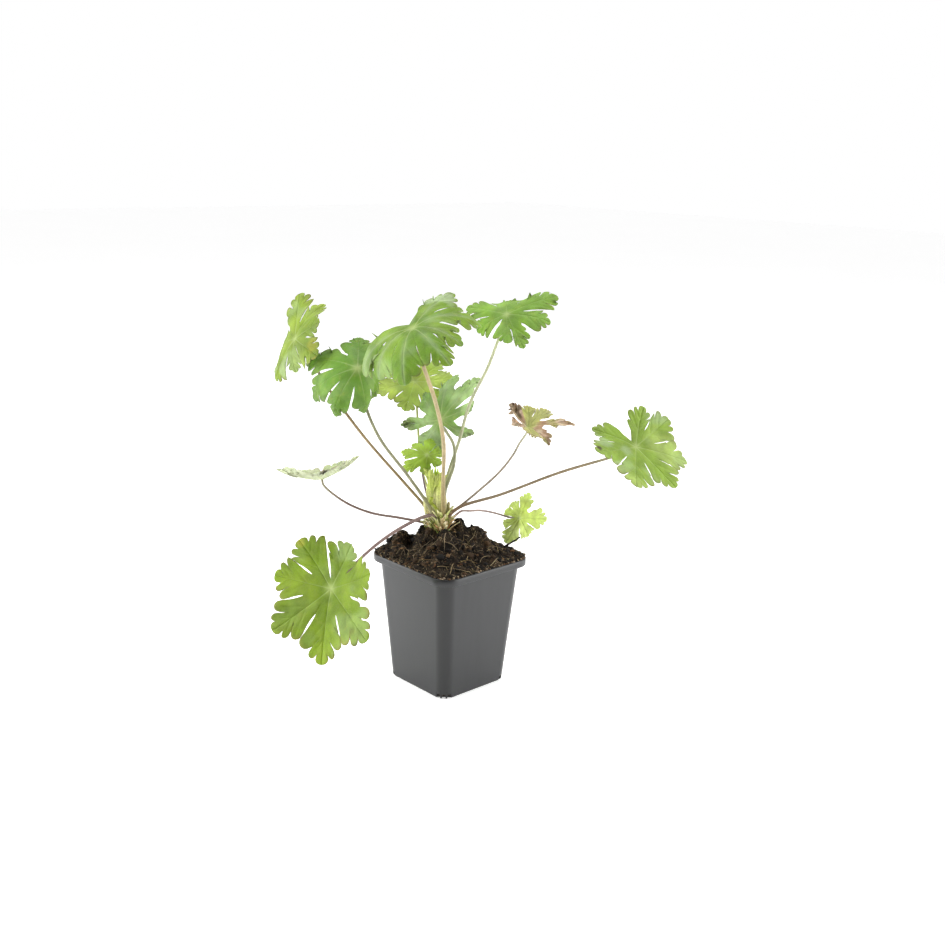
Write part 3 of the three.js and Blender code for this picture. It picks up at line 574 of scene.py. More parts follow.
# ------------------------------------------------------------------ pot
def square_ring(half, radius, height, steps):
    """Points on a level square with round corners."""
    corner, step = np.divmod(np.arange(4 * (steps + 1)), steps + 1)
    angle = np.radians(90 * (corner + step / steps))
    middle = np.radians(45 + 90 * corner)
    x = (half - radius) * np.sign(np.cos(middle)) + radius * np.cos(angle)
    y = (half - radius) * np.sign(np.sin(middle)) + radius * np.sin(angle)
    return np.stack([x, y, np.full_like(x, height)], 1)


def body_at(height):
    """Outer half width and corner radius of the pot's body at a height."""
    share = height / (POT["height"] - POT["rim_depth"])
    return (POT["foot"] + (POT["neck"] - POT["foot"]) * share,
            POT["foot_r"] + (POT["neck_r"] - POT["foot_r"]) * share)


def pot_profile():
    """(half width, corner radius, height) rings from the underside, outside, rim and inside."""
    rows = []

    def body(height, inset):
        half, radius = body_at(height)
        rows.append((half - inset, radius - inset, height))

    def rim(height, inset):
        rows.append((POT["rim"] - inset, POT["rim_r"] - inset, height))

    def arc(size, turn):
        return size * (1 - math.cos(turn * math.pi / 2)), size * (1 - math.sin(turn * math.pi / 2))

    for turn in np.linspace(0, 1, 5):
        body(*arc(POT["foot_round"], turn))
    brim, hem, top = POT["height"] - POT["wall"], POT["height"] - POT["rim_depth"], POT["height"]
    for height in OUTER_RINGS:
        body(height, 0)
    body(95.4, -0.15)
    body(brim, 0)
    rim(brim, POT["wall"])
    rim(hem + POT["hem_round"], POT["wall"])
    rim(hem, POT["wall"] - POT["hem_round"])
    rim(hem, POT["hem_round"])
    rim(hem + POT["hem_round"], 0)
    rim(hem + 2.6, 0)
    for turn in np.linspace(0.2, 1, 5):
        inset, drop = arc(POT["rim_round"], turn)
        rim(top - drop, inset)
    body(top, POT["wall"] - 0.3)
    body(top - 0.3, POT["wall"])
    for height in INNER_RINGS:
        body(height, POT["wall"])
    return rows


def make_pot(material):
    """The pot's shell with its drains, and its edges softened."""
    rings = [square_ring(*row, POT["corner_steps"]) for row in pot_profile()]
    points = np.concatenate(rings + [[[0, 0, 0]], [[0, 0, POT["floor"]]]])
    shape = Shape()
    shape.add(points, lofted(len(rings), len(rings[0])))
    pot = shape.piece("pot_shell", material, "pot", "pot")
    cut_drains(pot)
    edges = pot.modifiers.new("edges", "BEVEL")
    edges.width, edges.segments, edges.limit_method = POT["edge"] * MM, 2, "ANGLE"
    edges.angle_limit = math.radians(50)
    pot.data.shade_smooth()


def cut_drains(pot):
    """Cuts the corner slots and the floor holes as the solid has them."""
    corner = math.sqrt(2) * (POT["foot"] - POT["foot_r"]) + POT["foot_r"]
    cutter = Shape()
    ring, bevel = ((-1, -1), (1, -1), (1, 1), (-1, 1)), DRAIN["bevel"]
    tall = np.array((0, 0, DRAIN["height"]))
    faces = [(3, 2, 1, 0), (8, 9, 10, 11)]
    for tier in (0, 4):
        for k in range(4):
            a, b = tier + k, tier + (k + 1) % 4
            faces.append((a, b, b + 4, a + 4))
    for quarter in range(4):
        heading = math.radians(45 + 90 * quarter)
        ahead = np.array((math.cos(heading), math.sin(heading), 0))
        beside = np.array((-ahead[1], ahead[0], 0))
        reach, half = ahead * DRAIN["reach"] / 2, beside * DRAIN["width"] / 2
        for slot in (-1, 0, 1):
            middle = ahead * corner + beside * slot * DRAIN["pitch"]
            low = [middle + a * reach + b * half - tall for a, b in ring]
            high = [middle + a * reach + b * half + tall - (0, 0, bevel) for a, b in ring]
            peak = [middle + a * reach + b * half * (1 - bevel) + tall for a, b in ring]
            cutter.add(low + high + peak, faces)
        centre = ahead * DRAIN["offset"]
        hole = tube([centre - (0, 0, 4), centre + (0, 0, 4)], DRAIN["hole"], 28, (1, 0, 0))
        cutter.add(hole[0], hole[1])
    tool = linked("drain_cutter",
                  mesh_of("drain_cutter", np.concatenate(cutter.points), cutter.faces))
    cut = pot.modifiers.new("drains", "BOOLEAN")
    cut.operation, cut.solver, cut.object = "DIFFERENCE", "EXACT", tool
    graph = bpy.context.evaluated_depsgraph_get()
    done = bpy.data.meshes.new_from_object(pot.evaluated_get(graph))
    pot.modifiers.clear()
    pot.data = done
    bpy.data.objects.remove(tool)


# ------------------------------------------------------------------ compost
def soil_lumps():
    """Place, height and radius of each lump: the seen clods first, then the seeded ones."""
    draw = random_from(7)
    lumps = list(CLODS)
    for _ in range(SOIL["lumps"]):
        x, y = (draw() * 2 - 1) * SOIL["spread"], (draw() * 2 - 1) * SOIL["spread"]
        radius = SOIL["lump_r"] * (0.6 + 0.8 * draw())
        lumps.append((x, y, SOIL["lump_height"] * (draw() * 1.6 - 0.6), radius))
    return np.array(lumps)


LUMPS = soil_lumps()
SHARE_STEPS = 26
RAY_REACH = np.linspace(820, 1010, 900)


def square_reach(half, radius, angle):
    """Distance from the middle of a rounded square to its edge in a direction."""
    c, s = np.abs(np.cos(angle)), np.abs(np.sin(angle))
    flat = half / np.maximum(c, s)
    inner = half - radius
    along = inner * (c + s)
    bent = along + np.sqrt(np.maximum(along * along - 2 * inner * inner + radius * radius, 0))
    return np.where(flat * np.minimum(c, s) <= inner, flat, bent)


def soil_share(x, y):
    """How far out a place on the mound lies, from 0 at its apex to 1 at its edge."""
    low, high = np.zeros_like(x, float), np.full_like(x, 1.1, float)
    for _ in range(SHARE_STEPS):
        share = (low + high) / 2
        dx = x - SOIL["apex"][0] * (1 - share)
        dy = y - SOIL["apex"][1] * (1 - share)
        reach = square_reach(SOIL["spread"], SOIL["spread_r"], np.arctan2(dy, dx)) * share
        outside = np.hypot(dx, dy) > reach
        low, high = np.where(outside, share, low), np.where(outside, high, share)
    return share


def soil_height(x, y):
    """Top of the compost, as its solid has it."""
    x, y = np.asarray(x, float), np.asarray(y, float)
    share = np.minimum(soil_share(x, y), 1)
    bumps = 0
    for lx, ly, height, radius in LUMPS:
        bumps = bumps + height * np.exp(-(np.hypot(x - lx, y - ly) / radius) ** 4)
    rise = SOIL["lip"] + SOIL["mound"] * (1 - share) ** SOIL["power"]
    fade = np.minimum(1, (1 - share) * 6 + 0.25)
    return POT["height"] + GAP + np.maximum(SOIL["lowest"], rise + bumps * fade)


def soil_top(x, y):
    """Top of the compost with its loose crumb structure."""
    place = np.stack([x, y, np.zeros_like(x)], -1)
    rough = 1.5 * noise(place, 5.5, 3, 2) + 1.5 * np.abs(noise(place, 2.8, 5, 3)) - 0.5
    edge = smooth(0, 0.12, 1 - soil_share(x, y))
    return soil_height(x, y) + rough * (0.3 + 0.7 * edge)


def on_soil(px, py):
    """Place on the compost that the photograph shows at a pixel."""
    spots = EYE + RAY_REACH[:, None] * seen_along(px, py)
    inside = np.maximum(np.abs(spots[:, 0]), np.abs(spots[:, 1])) < SOIL["spread"] + 1.5
    under = inside & (spots[:, 2] < soil_height(spots[:, 0], spots[:, 1]))
    return spots[np.argmax(under)] if under.any() else None


def make_soil(material):
    """The root ball in the pot with its mound, as one closed skin of rings."""
    angles = SOIL["angles"]
    turn = TAU * (np.arange(angles) + 0.5) / angles
    cos, sin = np.cos(turn), np.sin(turn)
    rings = []

    def ring(reach, height):
        rings.append(np.stack([reach * cos, reach * sin, np.full_like(turn, height)], 1))

    inset, wobble = POT["wall"] + GAP, SOIL["wobble"]
    for height in BALL_RINGS:
        half, radius = body_at(height)
        reach = square_reach(half - inset, radius - inset, turn)
        place = np.stack([reach * cos, reach * sin, turn * 0 + height], 1)
        ring(reach + (wobble * noise(place, 4, 9, 2) - wobble), height)
    edge = square_reach(SOIL["spread"] + SOIL["crust"], SOIL["spread_r"] + SOIL["crust"], turn)
    edge = edge + 0.8 * noise(np.stack([edge * cos, edge * sin], 1), 3, 12, 2)
    ring(edge, POT["height"] + 0.05)
    reach = square_reach(SOIL["spread"], SOIL["spread_r"], turn)
    for share in 1 - np.linspace(0, 1, SOIL["rings"])[1:-1]:
        out = np.maximum(reach * share, 0.05) + (edge - reach) * share ** 8
        x = out * cos + SOIL["apex"][0] * (1 - share)
        y = out * sin + SOIL["apex"][1] * (1 - share)
        rings.append(np.stack([x, y, soil_top(x, y)], 1))
    points = np.concatenate(rings + [rings[0].mean(0)[None], rings[-1].mean(0)[None]])
    shape = Shape()
    shape.add(points, lofted(len(rings), angles))
    shape.piece("compost", material, "soil", "soil")


def ball(level):
    """Points and faces of an icosphere of radius 1."""
    bm = bmesh.new()
    bmesh.ops.create_icosphere(bm, subdivisions=level, radius=1)
    points = np.array([v.co for v in bm.verts])
    faces = [[v.index for v in f.verts] for f in bm.faces]
    bm.free()
    return points, faces


BALLS = {level: ball(level) for level in (1, 2)}
EARTH = [rgb(c) for c in ("140f0a", "1c140d", "2a1f14", "17110b", "3a2b1c", "0e0a07", "463421")]
RUST = [rgb(c) for c in ("573e2a", "664b33", "463221", "745a3e")]
DUST = [rgb(c) for c in ("74624e", "8c7a62", "564a3c", "a29078", "625444")]
STRAW = [rgb(c) for c in ("97835f", "ab9772", "7d6a4c", "bfab86")]
CRUMB_COUNT = dict(small=1150, large=150, rim=560)
# Reddish crumbs heaped at the left of the crown: pixel, spread in pixels and count.
CRUMB_HEAPS = ((388, 547, 9, 60), (378, 556, 6, 34), (400, 541, 6, 24))
FIBRE_COUNT = dict(lying=600, rim=220)


def one_of(draw, pool):
    """A random member of a pool."""
    return pool[int(draw.integers(len(pool)))]


def top_at(x, y):
    """Height of the crumbly top at one place."""
    return float(soil_top(np.array(x), np.array(y)))


def square_spot(half, radius, angle, share=1.0, inset=0.0):
    """Place in a rounded square, in a direction from its middle."""
    reach = square_reach(half, radius, angle) * share - inset
    return reach * math.cos(angle), reach * math.sin(angle)


def scattered(draw, most, inset=0.0):
    """Random place on the compost, evenly spread over that share of its area."""
    angle, share = draw.uniform(0, TAU), math.sqrt(draw.uniform(0.01, most))
    return square_spot(SOIL["spread"] - inset, SOIL["spread_r"], angle, share)


def crumb(shape, draw, at, size, colours, squash=0.7):
    """One irregular crumb, sunk a little into what it lies on."""
    points, faces = BALLS[2 if size > 1.3 else 1]
    turn = np.array(Matrix.Rotation(draw.uniform(0, TAU), 3, unit(draw.normal(size=3))))
    stretch = draw.uniform(0.4, 1.3, 3)
    seed = int(draw.integers(1 << 20))
    body = points * (1 + 0.55 * noise(points, 0.6, seed, 2))[:, None] * stretch
    body = (body @ turn.T) * (size * np.array((1, 1, squash)))
    shape.add(body + at, faces, tint=one_of(draw, colours) * draw.uniform(0.75, 1.25))


def make_crumbs(material):
    """Crumbs and clods on the mound, heaps of reddish ones, and crumbs along the rim."""
    draw = np.random.default_rng(11)
    shape = Shape(tint=3)
    for _ in range(CRUMB_COUNT["small"]):
        x, y = scattered(draw, 1)
        size = 0.45 + 1.5 * draw.random() ** 3
        colours = EARTH if draw.random() < 0.8 else RUST
        crumb(shape, draw, np.array((x, y, top_at(x, y) + size * 0.1)), size, colours)
    for _ in range(CRUMB_COUNT["large"]):
        x, y = scattered(draw, 0.85)
        crumb(shape, draw, np.array((x, y, top_at(x, y))), draw.uniform(1.5, 2.8), EARTH, 0.75)
    for px, py, spread, count in CRUMB_HEAPS:
        for _ in range(count):
            spot = on_soil(px + draw.normal() * spread * 0.6, py + draw.normal() * spread * 0.45)
            if spot is not None and max(abs(spot[0]), abs(spot[1])) < SOIL["spread"] - 1:
                crumb(shape, draw, spot, draw.uniform(0.5, 1.4), RUST + EARTH[:3], 0.5)
    for _ in range(CRUMB_COUNT["rim"]):
        x, y = square_spot(POT["rim"] - 0.6, POT["rim_r"] - 0.6, draw.uniform(0, TAU),
                           inset=abs(draw.normal()) * 1.3)
        size = draw.uniform(0.4, 1.15)
        at = np.array((x, y, POT["height"] + size * 0.35 + abs(draw.normal()) * 0.5))
        share = 0.75 if x - y > 20 and y < 0 else 0.55 if x + y < -20 else 0.35
        pool = (DUST + RUST[:2]) if draw.random() < share else EARTH
        crumb(shape, draw, at, size, pool, 0.8)
    shape.piece("compost_crumbs", material, "soil")


# Fibres that stand out in the photograph: pixel, heading, length and colour.
LONG_FIBRES = (
    (446, 534, -150, 12, "a8957a"), (444, 541, -60, 11, "9d8a6c"), (420, 559, -110, 12, "93764f"),
    (462, 541, -70, 8, "b3a488"), (498, 552, 60, 10, "a89468"), (488, 548, -20, 12, "8f7c5a"),
    (452, 548, 10, 13, "7d6d55"), (430, 541, -170, 14, "8a7a62"), (437, 568, -40, 9, "b09a74"),
    (405, 541, 20, 15, "2a2018"), (411, 543, 75, 12, "3a2c1e"), (408, 536, -12, 14, "1e1711"),
    (415, 541, 140, 12, "57442f"), (398, 545, 100, 10, "4a3826"), (480, 562, 25, 12, "9c8a6c"),
    (468, 572, 170, 13, "a08c6a"), (425, 553, -30, 13, "a08e70"), (450, 575, 35, 12, "a6906c"),
    (472, 546, 150, 12, "8c7a60"), (411, 563, -60, 11, "9a7c58"), (490, 566, 10, 12, "a89878"),
    (456, 562, -20, 16, "8f7a50"), (470, 530, -45, 16, "6f5f4c"),
)


def strand(shape, draw, at, heading, length, radius, colour, lift=0.35, sway=0.5, rise=0.0):
    """A thin fibre that lies on the compost from at, and may rise towards its end."""
    steps = max(6, int(length / 1.1))
    points, x, y = [], at[0], at[1]
    for k in range(steps + 1):
        share = k / steps
        top = top_at(x, y)
        if np.hypot(x, y) > 40:
            top = max(top, POT["height"] + GAP)
        arch = math.sin(math.pi * share) * lift * length * 0.12
        points.append((x, y, top + radius + arch + rise * share ** 2))
        heading += sway * draw.normal() * 0.45
        x += math.cos(heading) * length / steps
        y += math.sin(heading) * length / steps
    points = np.array(points)
    for _ in range(3):
        points[1:-1, 2] = (points[:-2, 2] + 2 * points[1:-1, 2] + points[2:, 2]) / 4
    fade = radius * (1 - 0.6 * np.linspace(0, 1, len(points)) ** 2)
    body, faces, _, _ = tube(points, fade, 5)
    shape.add(body, faces, tint=colour * draw.uniform(0.75, 1.2))


def make_fibres(material):
    """Fibres lying on the mound and along the rim, and the long ones that the photo shows."""
    draw = np.random.default_rng(23)
    shape = Shape(tint=3)
    for _ in range(FIBRE_COUNT["lying"]):
        at = scattered(draw, 0.93, 2)
        kind = draw.random()
        colours = STRAW if kind < 0.16 else DUST if kind < 0.4 else RUST if kind < 0.6 else EARTH
        strand(shape, draw, at, draw.uniform(0, TAU), 3 + 11 * draw.random() ** 2,
               draw.uniform(0.07, 0.2), one_of(draw, colours), lift=draw.uniform(0, 1.0),
               sway=draw.uniform(0.15, 0.7), rise=draw.uniform(-0.2, 1.2))
    for _ in range(FIBRE_COUNT["rim"]):
        at = square_spot(SOIL["spread"] - 1, SOIL["spread_r"] - 1, draw.uniform(0, TAU),
                         inset=abs(draw.normal()))
        colour = one_of(draw, DUST + STRAW)
        strand(shape, draw, at, draw.uniform(0, TAU), draw.uniform(2, 4), draw.uniform(0.08, 0.16),
               colour, lift=0.6, sway=0.6)
    for px, py, aim, length, colour in LONG_FIBRES:
        strand(shape, draw, on_soil(px, py)[:2], math.radians(aim), length, 0.19, rgb(colour),
               lift=0.8, sway=0.28, rise=1)
    shape.piece("compost_fibres", material, "soil")


def make_twig(material):
    """The knobbly black twig, its broken end thinner."""
    draw = np.random.default_rng(5)
    shape = Shape(tint=3, flat=3)
    start, end = np.array(TWIG["start"], float), np.array(TWIG["end"], float)
    run = np.linspace(0, 1, 26)[:, None]
    points = start + (end - start) * run
    points = points + 0.35 * np.stack([noise(points, 5, s) for s in (1, 2, 3)], 1)
    radii = TWIG["radius"] * (1.05 - 0.35 * run[:, 0]) * (1 + 0.18 * noise(points, 1.6, 8))
    radii[-1] *= 0.5
    body, faces, turn, far = tube(points, radii, 12)
    body = body + 0.1 * noise(body, 0.8, 4, 2)[:, None] * unit(draw.normal(size=body.shape))
    tint = mix(rgb("16120f"), rgb("3c3128"), smooth(0.1, 0.7, noise(body, 1.2, 6)))
    shape.add(body, faces, tint=tint, flat=np.stack([turn, far, far * 0], 1))
    shape.piece("black_twig", material, "twig", "twig")


# ------------------------------------------------------------------ leaves
# Pieces of half a lobe's edge in shares of the lobe: (along, half width, place on the vein).
# FLANK runs round the main tooth into the cut above it.
FLANK = [(.745, .285, .42), (.79, .262, .455), (.81, .222, .485), (.795, .175, .512),
         (.745, .13, .537), (.69, .095, .58)]
SINUS = [(.36, .155, .22), (.42, .19, .245), (.5, .228, .28), (.6, .262, .33),
         (.68, .285, .38)] + FLANK
LOW_TOOTH = [(.36, .155, .22), (.42, .19, .245), (.5, .236, .275), (.552, .25, .292),
             (.582, .225, .305), (.575, .185, .325)]
ABOVE_LOW = [(.575, .185, .325), (.62, .228, .35), (.68, .268, .38)] + FLANK
SECOND = [(.69, .095, .58), (.745, .12, .625), (.8, .155, .658), (.86, .178, .685),
          (.905, .166, .705), (.925, .135, .725), (.905, .098, .745), (.86, .062, .775)]
TIP = [(.86, .062, .775), (.89, .08, .81), (.93, .088, .85), (.97, .072, .9), (.993, .04, .945),
       (1, 0, 1)]
SIDE_VEINS = [(.79, .23, .42), (.9, .14, .68)]
ACROSS = np.array([0, .035, .09, .18, .3, .43, .56, .69, .81, .92, 1])
CORE_ROWS, LOW_TOOTH_CHANCE = 9, 0.55
PIECE_STEPS = {3: (22, 13, 11), 4: (10, 13, 12, 11)}
SLIT, SHUT, SLIT_END = 0.012, 0.0012, 0.64
# sRGB colours of what grows on the blades' own green, of the pale painted sheen and painted rib
# highlight laid over it, and of the stalks' hairs.
LEAF_HEX = dict(painted_sheen="b2c795", painted_rib_highlight="b6c4a4", dry="e6cdb8", drier="cca48a", dark="5f4236",
                tips="6f3f30", heart="c8d78a", hair="cfc9a8")


def leaf_matrix(part):
    """From the flat leaf's own axes to its place on the plant."""
    heading, pitch, roll = (math.radians(a) for a in part["turn"])
    turn = (Matrix.Rotation(heading, 4, "Z") @ Matrix.Rotation(-pitch, 4, "Y")
            @ Matrix.Rotation(roll, 4, "X"))
    return np.array(Matrix.Translation(part["at"]) @ turn)


def moved(matrix, points):
    """Points carried by a 4 x 4 matrix."""
    return np.asarray(points) @ matrix[:3, :3].T + matrix[:3, 3]


def lobe_axes(part):
    """Direction of each lobe's main vein."""
    return np.radians(np.array(LOBE_ANGLES) + np.array(part["swing"]))


def by_lobe(values, field):
    """The value of each point's lobe."""
    return np.array(values)[field["lobe"]]


def apart_from(axes, angle):
    """Angle of each point from each lobe's axis."""
    return (angle[:, None] - axes[None] + math.pi) % TAU - math.pi


def arched(part, axes, flat):
    """Bends points of the flat leaf into the leaf's arched, pleated place."""
    reach, angle = np.hypot(flat[:, 0], flat[:, 1]), np.arctan2(flat[:, 1], flat[:, 0])
    apart = apart_from(axes, angle)
    share = np.exp(-(apart / LOBE_BLEND) ** 2)
    droop = share @ np.radians(part["droop"]) / share.sum(1)
    lift = BLADE["pleat"] * reach * np.sin(np.abs(apart).min(1))
    curve = droop / part["radius"]
    curve = np.where(np.abs(curve) < 1e-6, 1e-6, curve)
    cone = math.radians(part["cone"])
    out = (np.sin(cone + curve * reach) - math.sin(cone)) / curve
    down = (math.cos(cone) - np.cos(cone + curve * reach)) / curve
    return np.stack([out * np.cos(angle), out * np.sin(angle), lift - down], 1)


def lobe_edge(part, axes, lobe, side, draw, look):
    """Half of a lobe's edge as rows of (along, half width, vein), all in mm."""
    following = lobe + side
    inner = 0 <= following < 7
    spread = abs(axes[following] - axes[lobe]) / 2 if inner else math.pi - abs(axes[lobe])
    depth = part["notch"][min(lobe, following)] * NOTCH_SHARE if inner else BLADE["heel"]
    radius = part["radius"]
    length = radius * LOBE_LENGTHS[lobe] * part["length"][lobe]
    low = draw.random() < LOW_TOOTH_CHANCE
    pieces = [LOW_TOOTH, ABOVE_LOW, SECOND, TIP] if low else [SINUS, SECOND, TIP]
    slim = look["slim"][lobe]
    scale = np.array((length, radius * part["width"][lobe] * slim, length))
    if not inner:
        scale[1] *= look["close"]
    cut = np.clip(look["cut"] * (1 + 0.2 * draw.normal(size=2)), 0.7, 1.45)
    first = np.array((depth * radius * math.cos(spread), depth * radius * math.sin(spread),
                      NOTCH_VEIN * length))
    rows = []
    for k, (piece, count) in enumerate(zip(pieces, PIECE_STEPS[len(pieces)])):
        spots = np.array(piece) * scale
        spots[1:-1, 1] *= 1 + 0.04 * draw.normal()
        if piece is not TIP and piece is not LOW_TOOTH:
            deep = cut[1 if piece is SECOND else 0]
            spots[-1, 1] *= deep
            spots[-2, 1] *= (1 + deep) / 2
        if piece is SECOND or piece is TIP:
            spots[0, 1] *= cut[1 if piece is TIP else 0]
        if k == 0:
            spots = np.concatenate([[first], spots[spots[:, 0] > first[0] + 0.04 * length]])
        line = catmull(spots, count + 1)
        line[:, 2] = np.maximum.accumulate(line[:, 2])
        rows.append(line if k == 0 else line[1:])
    rows = np.concatenate(rows)
    far = np.clip((rows[:, 0] - first[0]) / (SLIT_END * length - first[0]), 0, 1)
    slit = SHUT + SLIT * draw.uniform(0.3, 1.3) * np.sin(math.pi * far) ** 0.8
    slit = slit + look["open"] * np.clip((rows[:, 0] - first[0]) / length, 0, 1)
    room = (rows[:, 0] * math.sin(spread) - slit * radius) / math.cos(spread)
    if inner or spread < math.pi / 2:
        rows[1:, 1] = np.maximum(0, np.minimum(rows[1:, 1], room[1:]))
    rows[-1, 1] = 0
    return rows, length


def segment_distance(points, a, b):
    """Distance of each point from the line from a to b, and how far along it that is."""
    ab = b - a
    t = np.clip((points - a) @ ab / max(ab @ ab, 1e-9), 0, 1)
    return np.linalg.norm(points - a - t[:, None] * ab, axis=1), t


def flat_leaf(part, axes, seed, look):
    """The flat blade: points, faces, outline, and per point the vein distances and places."""
    draw = np.random.default_rng(seed)
    points, ribs, sides, lobes, across, grids = [], [], [], [], [], []
    count = 0
    for lobe, axis in enumerate(axes):
        for side in (-1, 1):
            rows, length = lobe_edge(part, axes, lobe, side, draw, look)
            core = np.linspace(0, 1, CORE_ROWS + 1)[:-1]
            rib = np.concatenate([core * rows[0, 2], rows[:, 2]])
            rib[-1] = length
            edge_x = np.concatenate([core * rows[0, 0], rows[:, 0]])
            edge_y = np.concatenate([core * rows[0, 1], rows[:, 1]])
            x = rib[:, None] + (edge_x - rib)[:, None] * ACROSS
            y = edge_y[:, None] * ACROSS
            spots = np.stack([x.ravel(), y.ravel()], 1)
            wide = part["radius"] * part["width"][lobe]
            near = np.full(len(spots), 1e3)
            for along, half, root in SIDE_VEINS:
                d, t = segment_distance(spots, np.array((root * length, 0)),
                                        np.array((along * length * 0.97, half * wide * 0.93)))
                near = np.minimum(near, d / (1 - 0.45 * t))
            c, s = math.cos(axis), math.sin(axis)
            px, py = spots[:, 0], spots[:, 1] * side
            points.append(np.stack([px * c - py * s, px * s + py * c], 1))
            ribs.append(spots[:, 1] / (1.15 - 0.75 * np.clip(px / length, 0, 1)))
            sides.append(near)
            lobes.append(np.full(len(spots), lobe))
            across.append(np.tile(ACROSS, len(rib)))
            grids.append((count, len(rib), side))
            count += len(spots)
    points = np.concatenate(points)
    _, first, same = np.unique(np.round(points, 3), axis=0, return_index=True,
                               return_inverse=True)
    same = same.ravel()
    faces, loops, row = [], [], len(ACROSS)
    for start, rows, side in grids:
        for r in range(rows - 1):
            for k in range(row - 1):
                a = start + r * row + k
                quad = [same[a], same[a + row], same[a + row + 1], same[a + 1]]
                quad = quad if side == 1 else quad[::-1]
                kept = [q for i, q in enumerate(quad) if q != quad[i - 1]]
                if len(set(kept)) >= 3:
                    faces.append(kept)
        loops.append([same[start + r * row + row - 1] for r in range(CORE_ROWS, rows)])
    outline = []
    for lobe in range(7):
        outline += loops[2 * lobe][:-1] + loops[2 * lobe + 1][::-1][:-1]
    field = {key: np.concatenate(values)[first] for key, values in
             dict(rib=ribs, side=sides, lobe=lobes, across=across).items()}
    return points[first], faces, outline, field


def quads(faces):
    """Faces as rows of four, a triangle with its last corner twice."""
    return np.array([f if len(f) == 4 else [*f, f[-1]] for f in faces])


def make_blade(part, look, material, seed):
    """One blade of uneven thickness, with veins, waves and its own colours."""
    axes = lobe_axes(part)
    flat, faces, outline, field = flat_leaf(part, axes, seed, look)
    middle = arched(part, axes, flat)
    four = quads(faces)
    reach = np.hypot(flat[:, 0], flat[:, 1]) / part["radius"]
    vein = np.minimum(field["rib"] / 1.6, field["side"] / 1.1)
    puff = BLADE["puff"] * (1 - np.exp(-vein ** 2)) * smooth(0.05, 0.3, reach)
    wave = look["wave"] * noise(flat, 13, seed, 2) * smooth(0.25, 1, reach)
    curl = look["curl"] * noise(flat, 8, seed + 40) * field["across"] ** 3 * reach
    quilt = BLADE["quilt"] * noise(flat, 1.9, seed + 9)
    apart = np.abs(apart_from(axes, np.arctan2(flat[:, 1], flat[:, 0]))).min(1)
    fold = look["fold"] * part["radius"] * np.minimum(reach, 0.8) * np.sin(apart)
    roll = by_lobe(look["roll"], field) * 0.25 * part["radius"]
    roll = roll * field["across"] ** 2 * smooth(0.25, 0.6, reach)
    up = vertex_normals(middle, four)
    middle = middle + up * (puff + wave + curl + quilt + fold + roll)[:, None]
    up = vertex_normals(middle, four)
    half = BLADE["thickness"] / 2 * (1 - 0.45 * smooth(0.85, 1, field["across"]))
    ridge = (BLADE["rib"] * np.exp(-(field["rib"] / 0.55) ** 2)
             + BLADE["branch"] * np.exp(-(field["side"] / 0.45) ** 2))
    ridge = ridge * smooth(1.0, 0.7, reach)
    groove = BLADE["groove"] * np.exp(-(field["rib"] / 0.5) ** 2)
    top = middle + up * (half - groove)[:, None]
    under = middle - up * (half + ridge)[:, None]
    count = len(flat)
    body = np.concatenate([top, under])
    shell = list(faces) + [[i + count for i in face[::-1]] for face in faces]
    for k, a in enumerate(outline):
        b = outline[(k + 1) % len(outline)]
        shell.append([a, a + count, b + count, b])
    tint, back = blade_tints(part, look, flat, field, reach, seed)
    pale = look["veins"] * (1 - 0.85 * smooth(0.1, 0.75, reach))
    coat = np.stack([field["rib"], field["side"], pale], 1)
    shape = Shape(tint=3, flat=3, vein=3)
    place = np.concatenate([flat, np.full((count, 1), seed * 3.1)], 1)
    matrix = leaf_matrix(part)
    shape.add(moved(matrix, body), shell, tint=np.concatenate([tint, back]),
              flat=np.concatenate([place, place]), vein=np.concatenate([coat, coat]))
    shape.piece(part["name"] + "_leaf", material, "blade", part["name"] + "_blade")


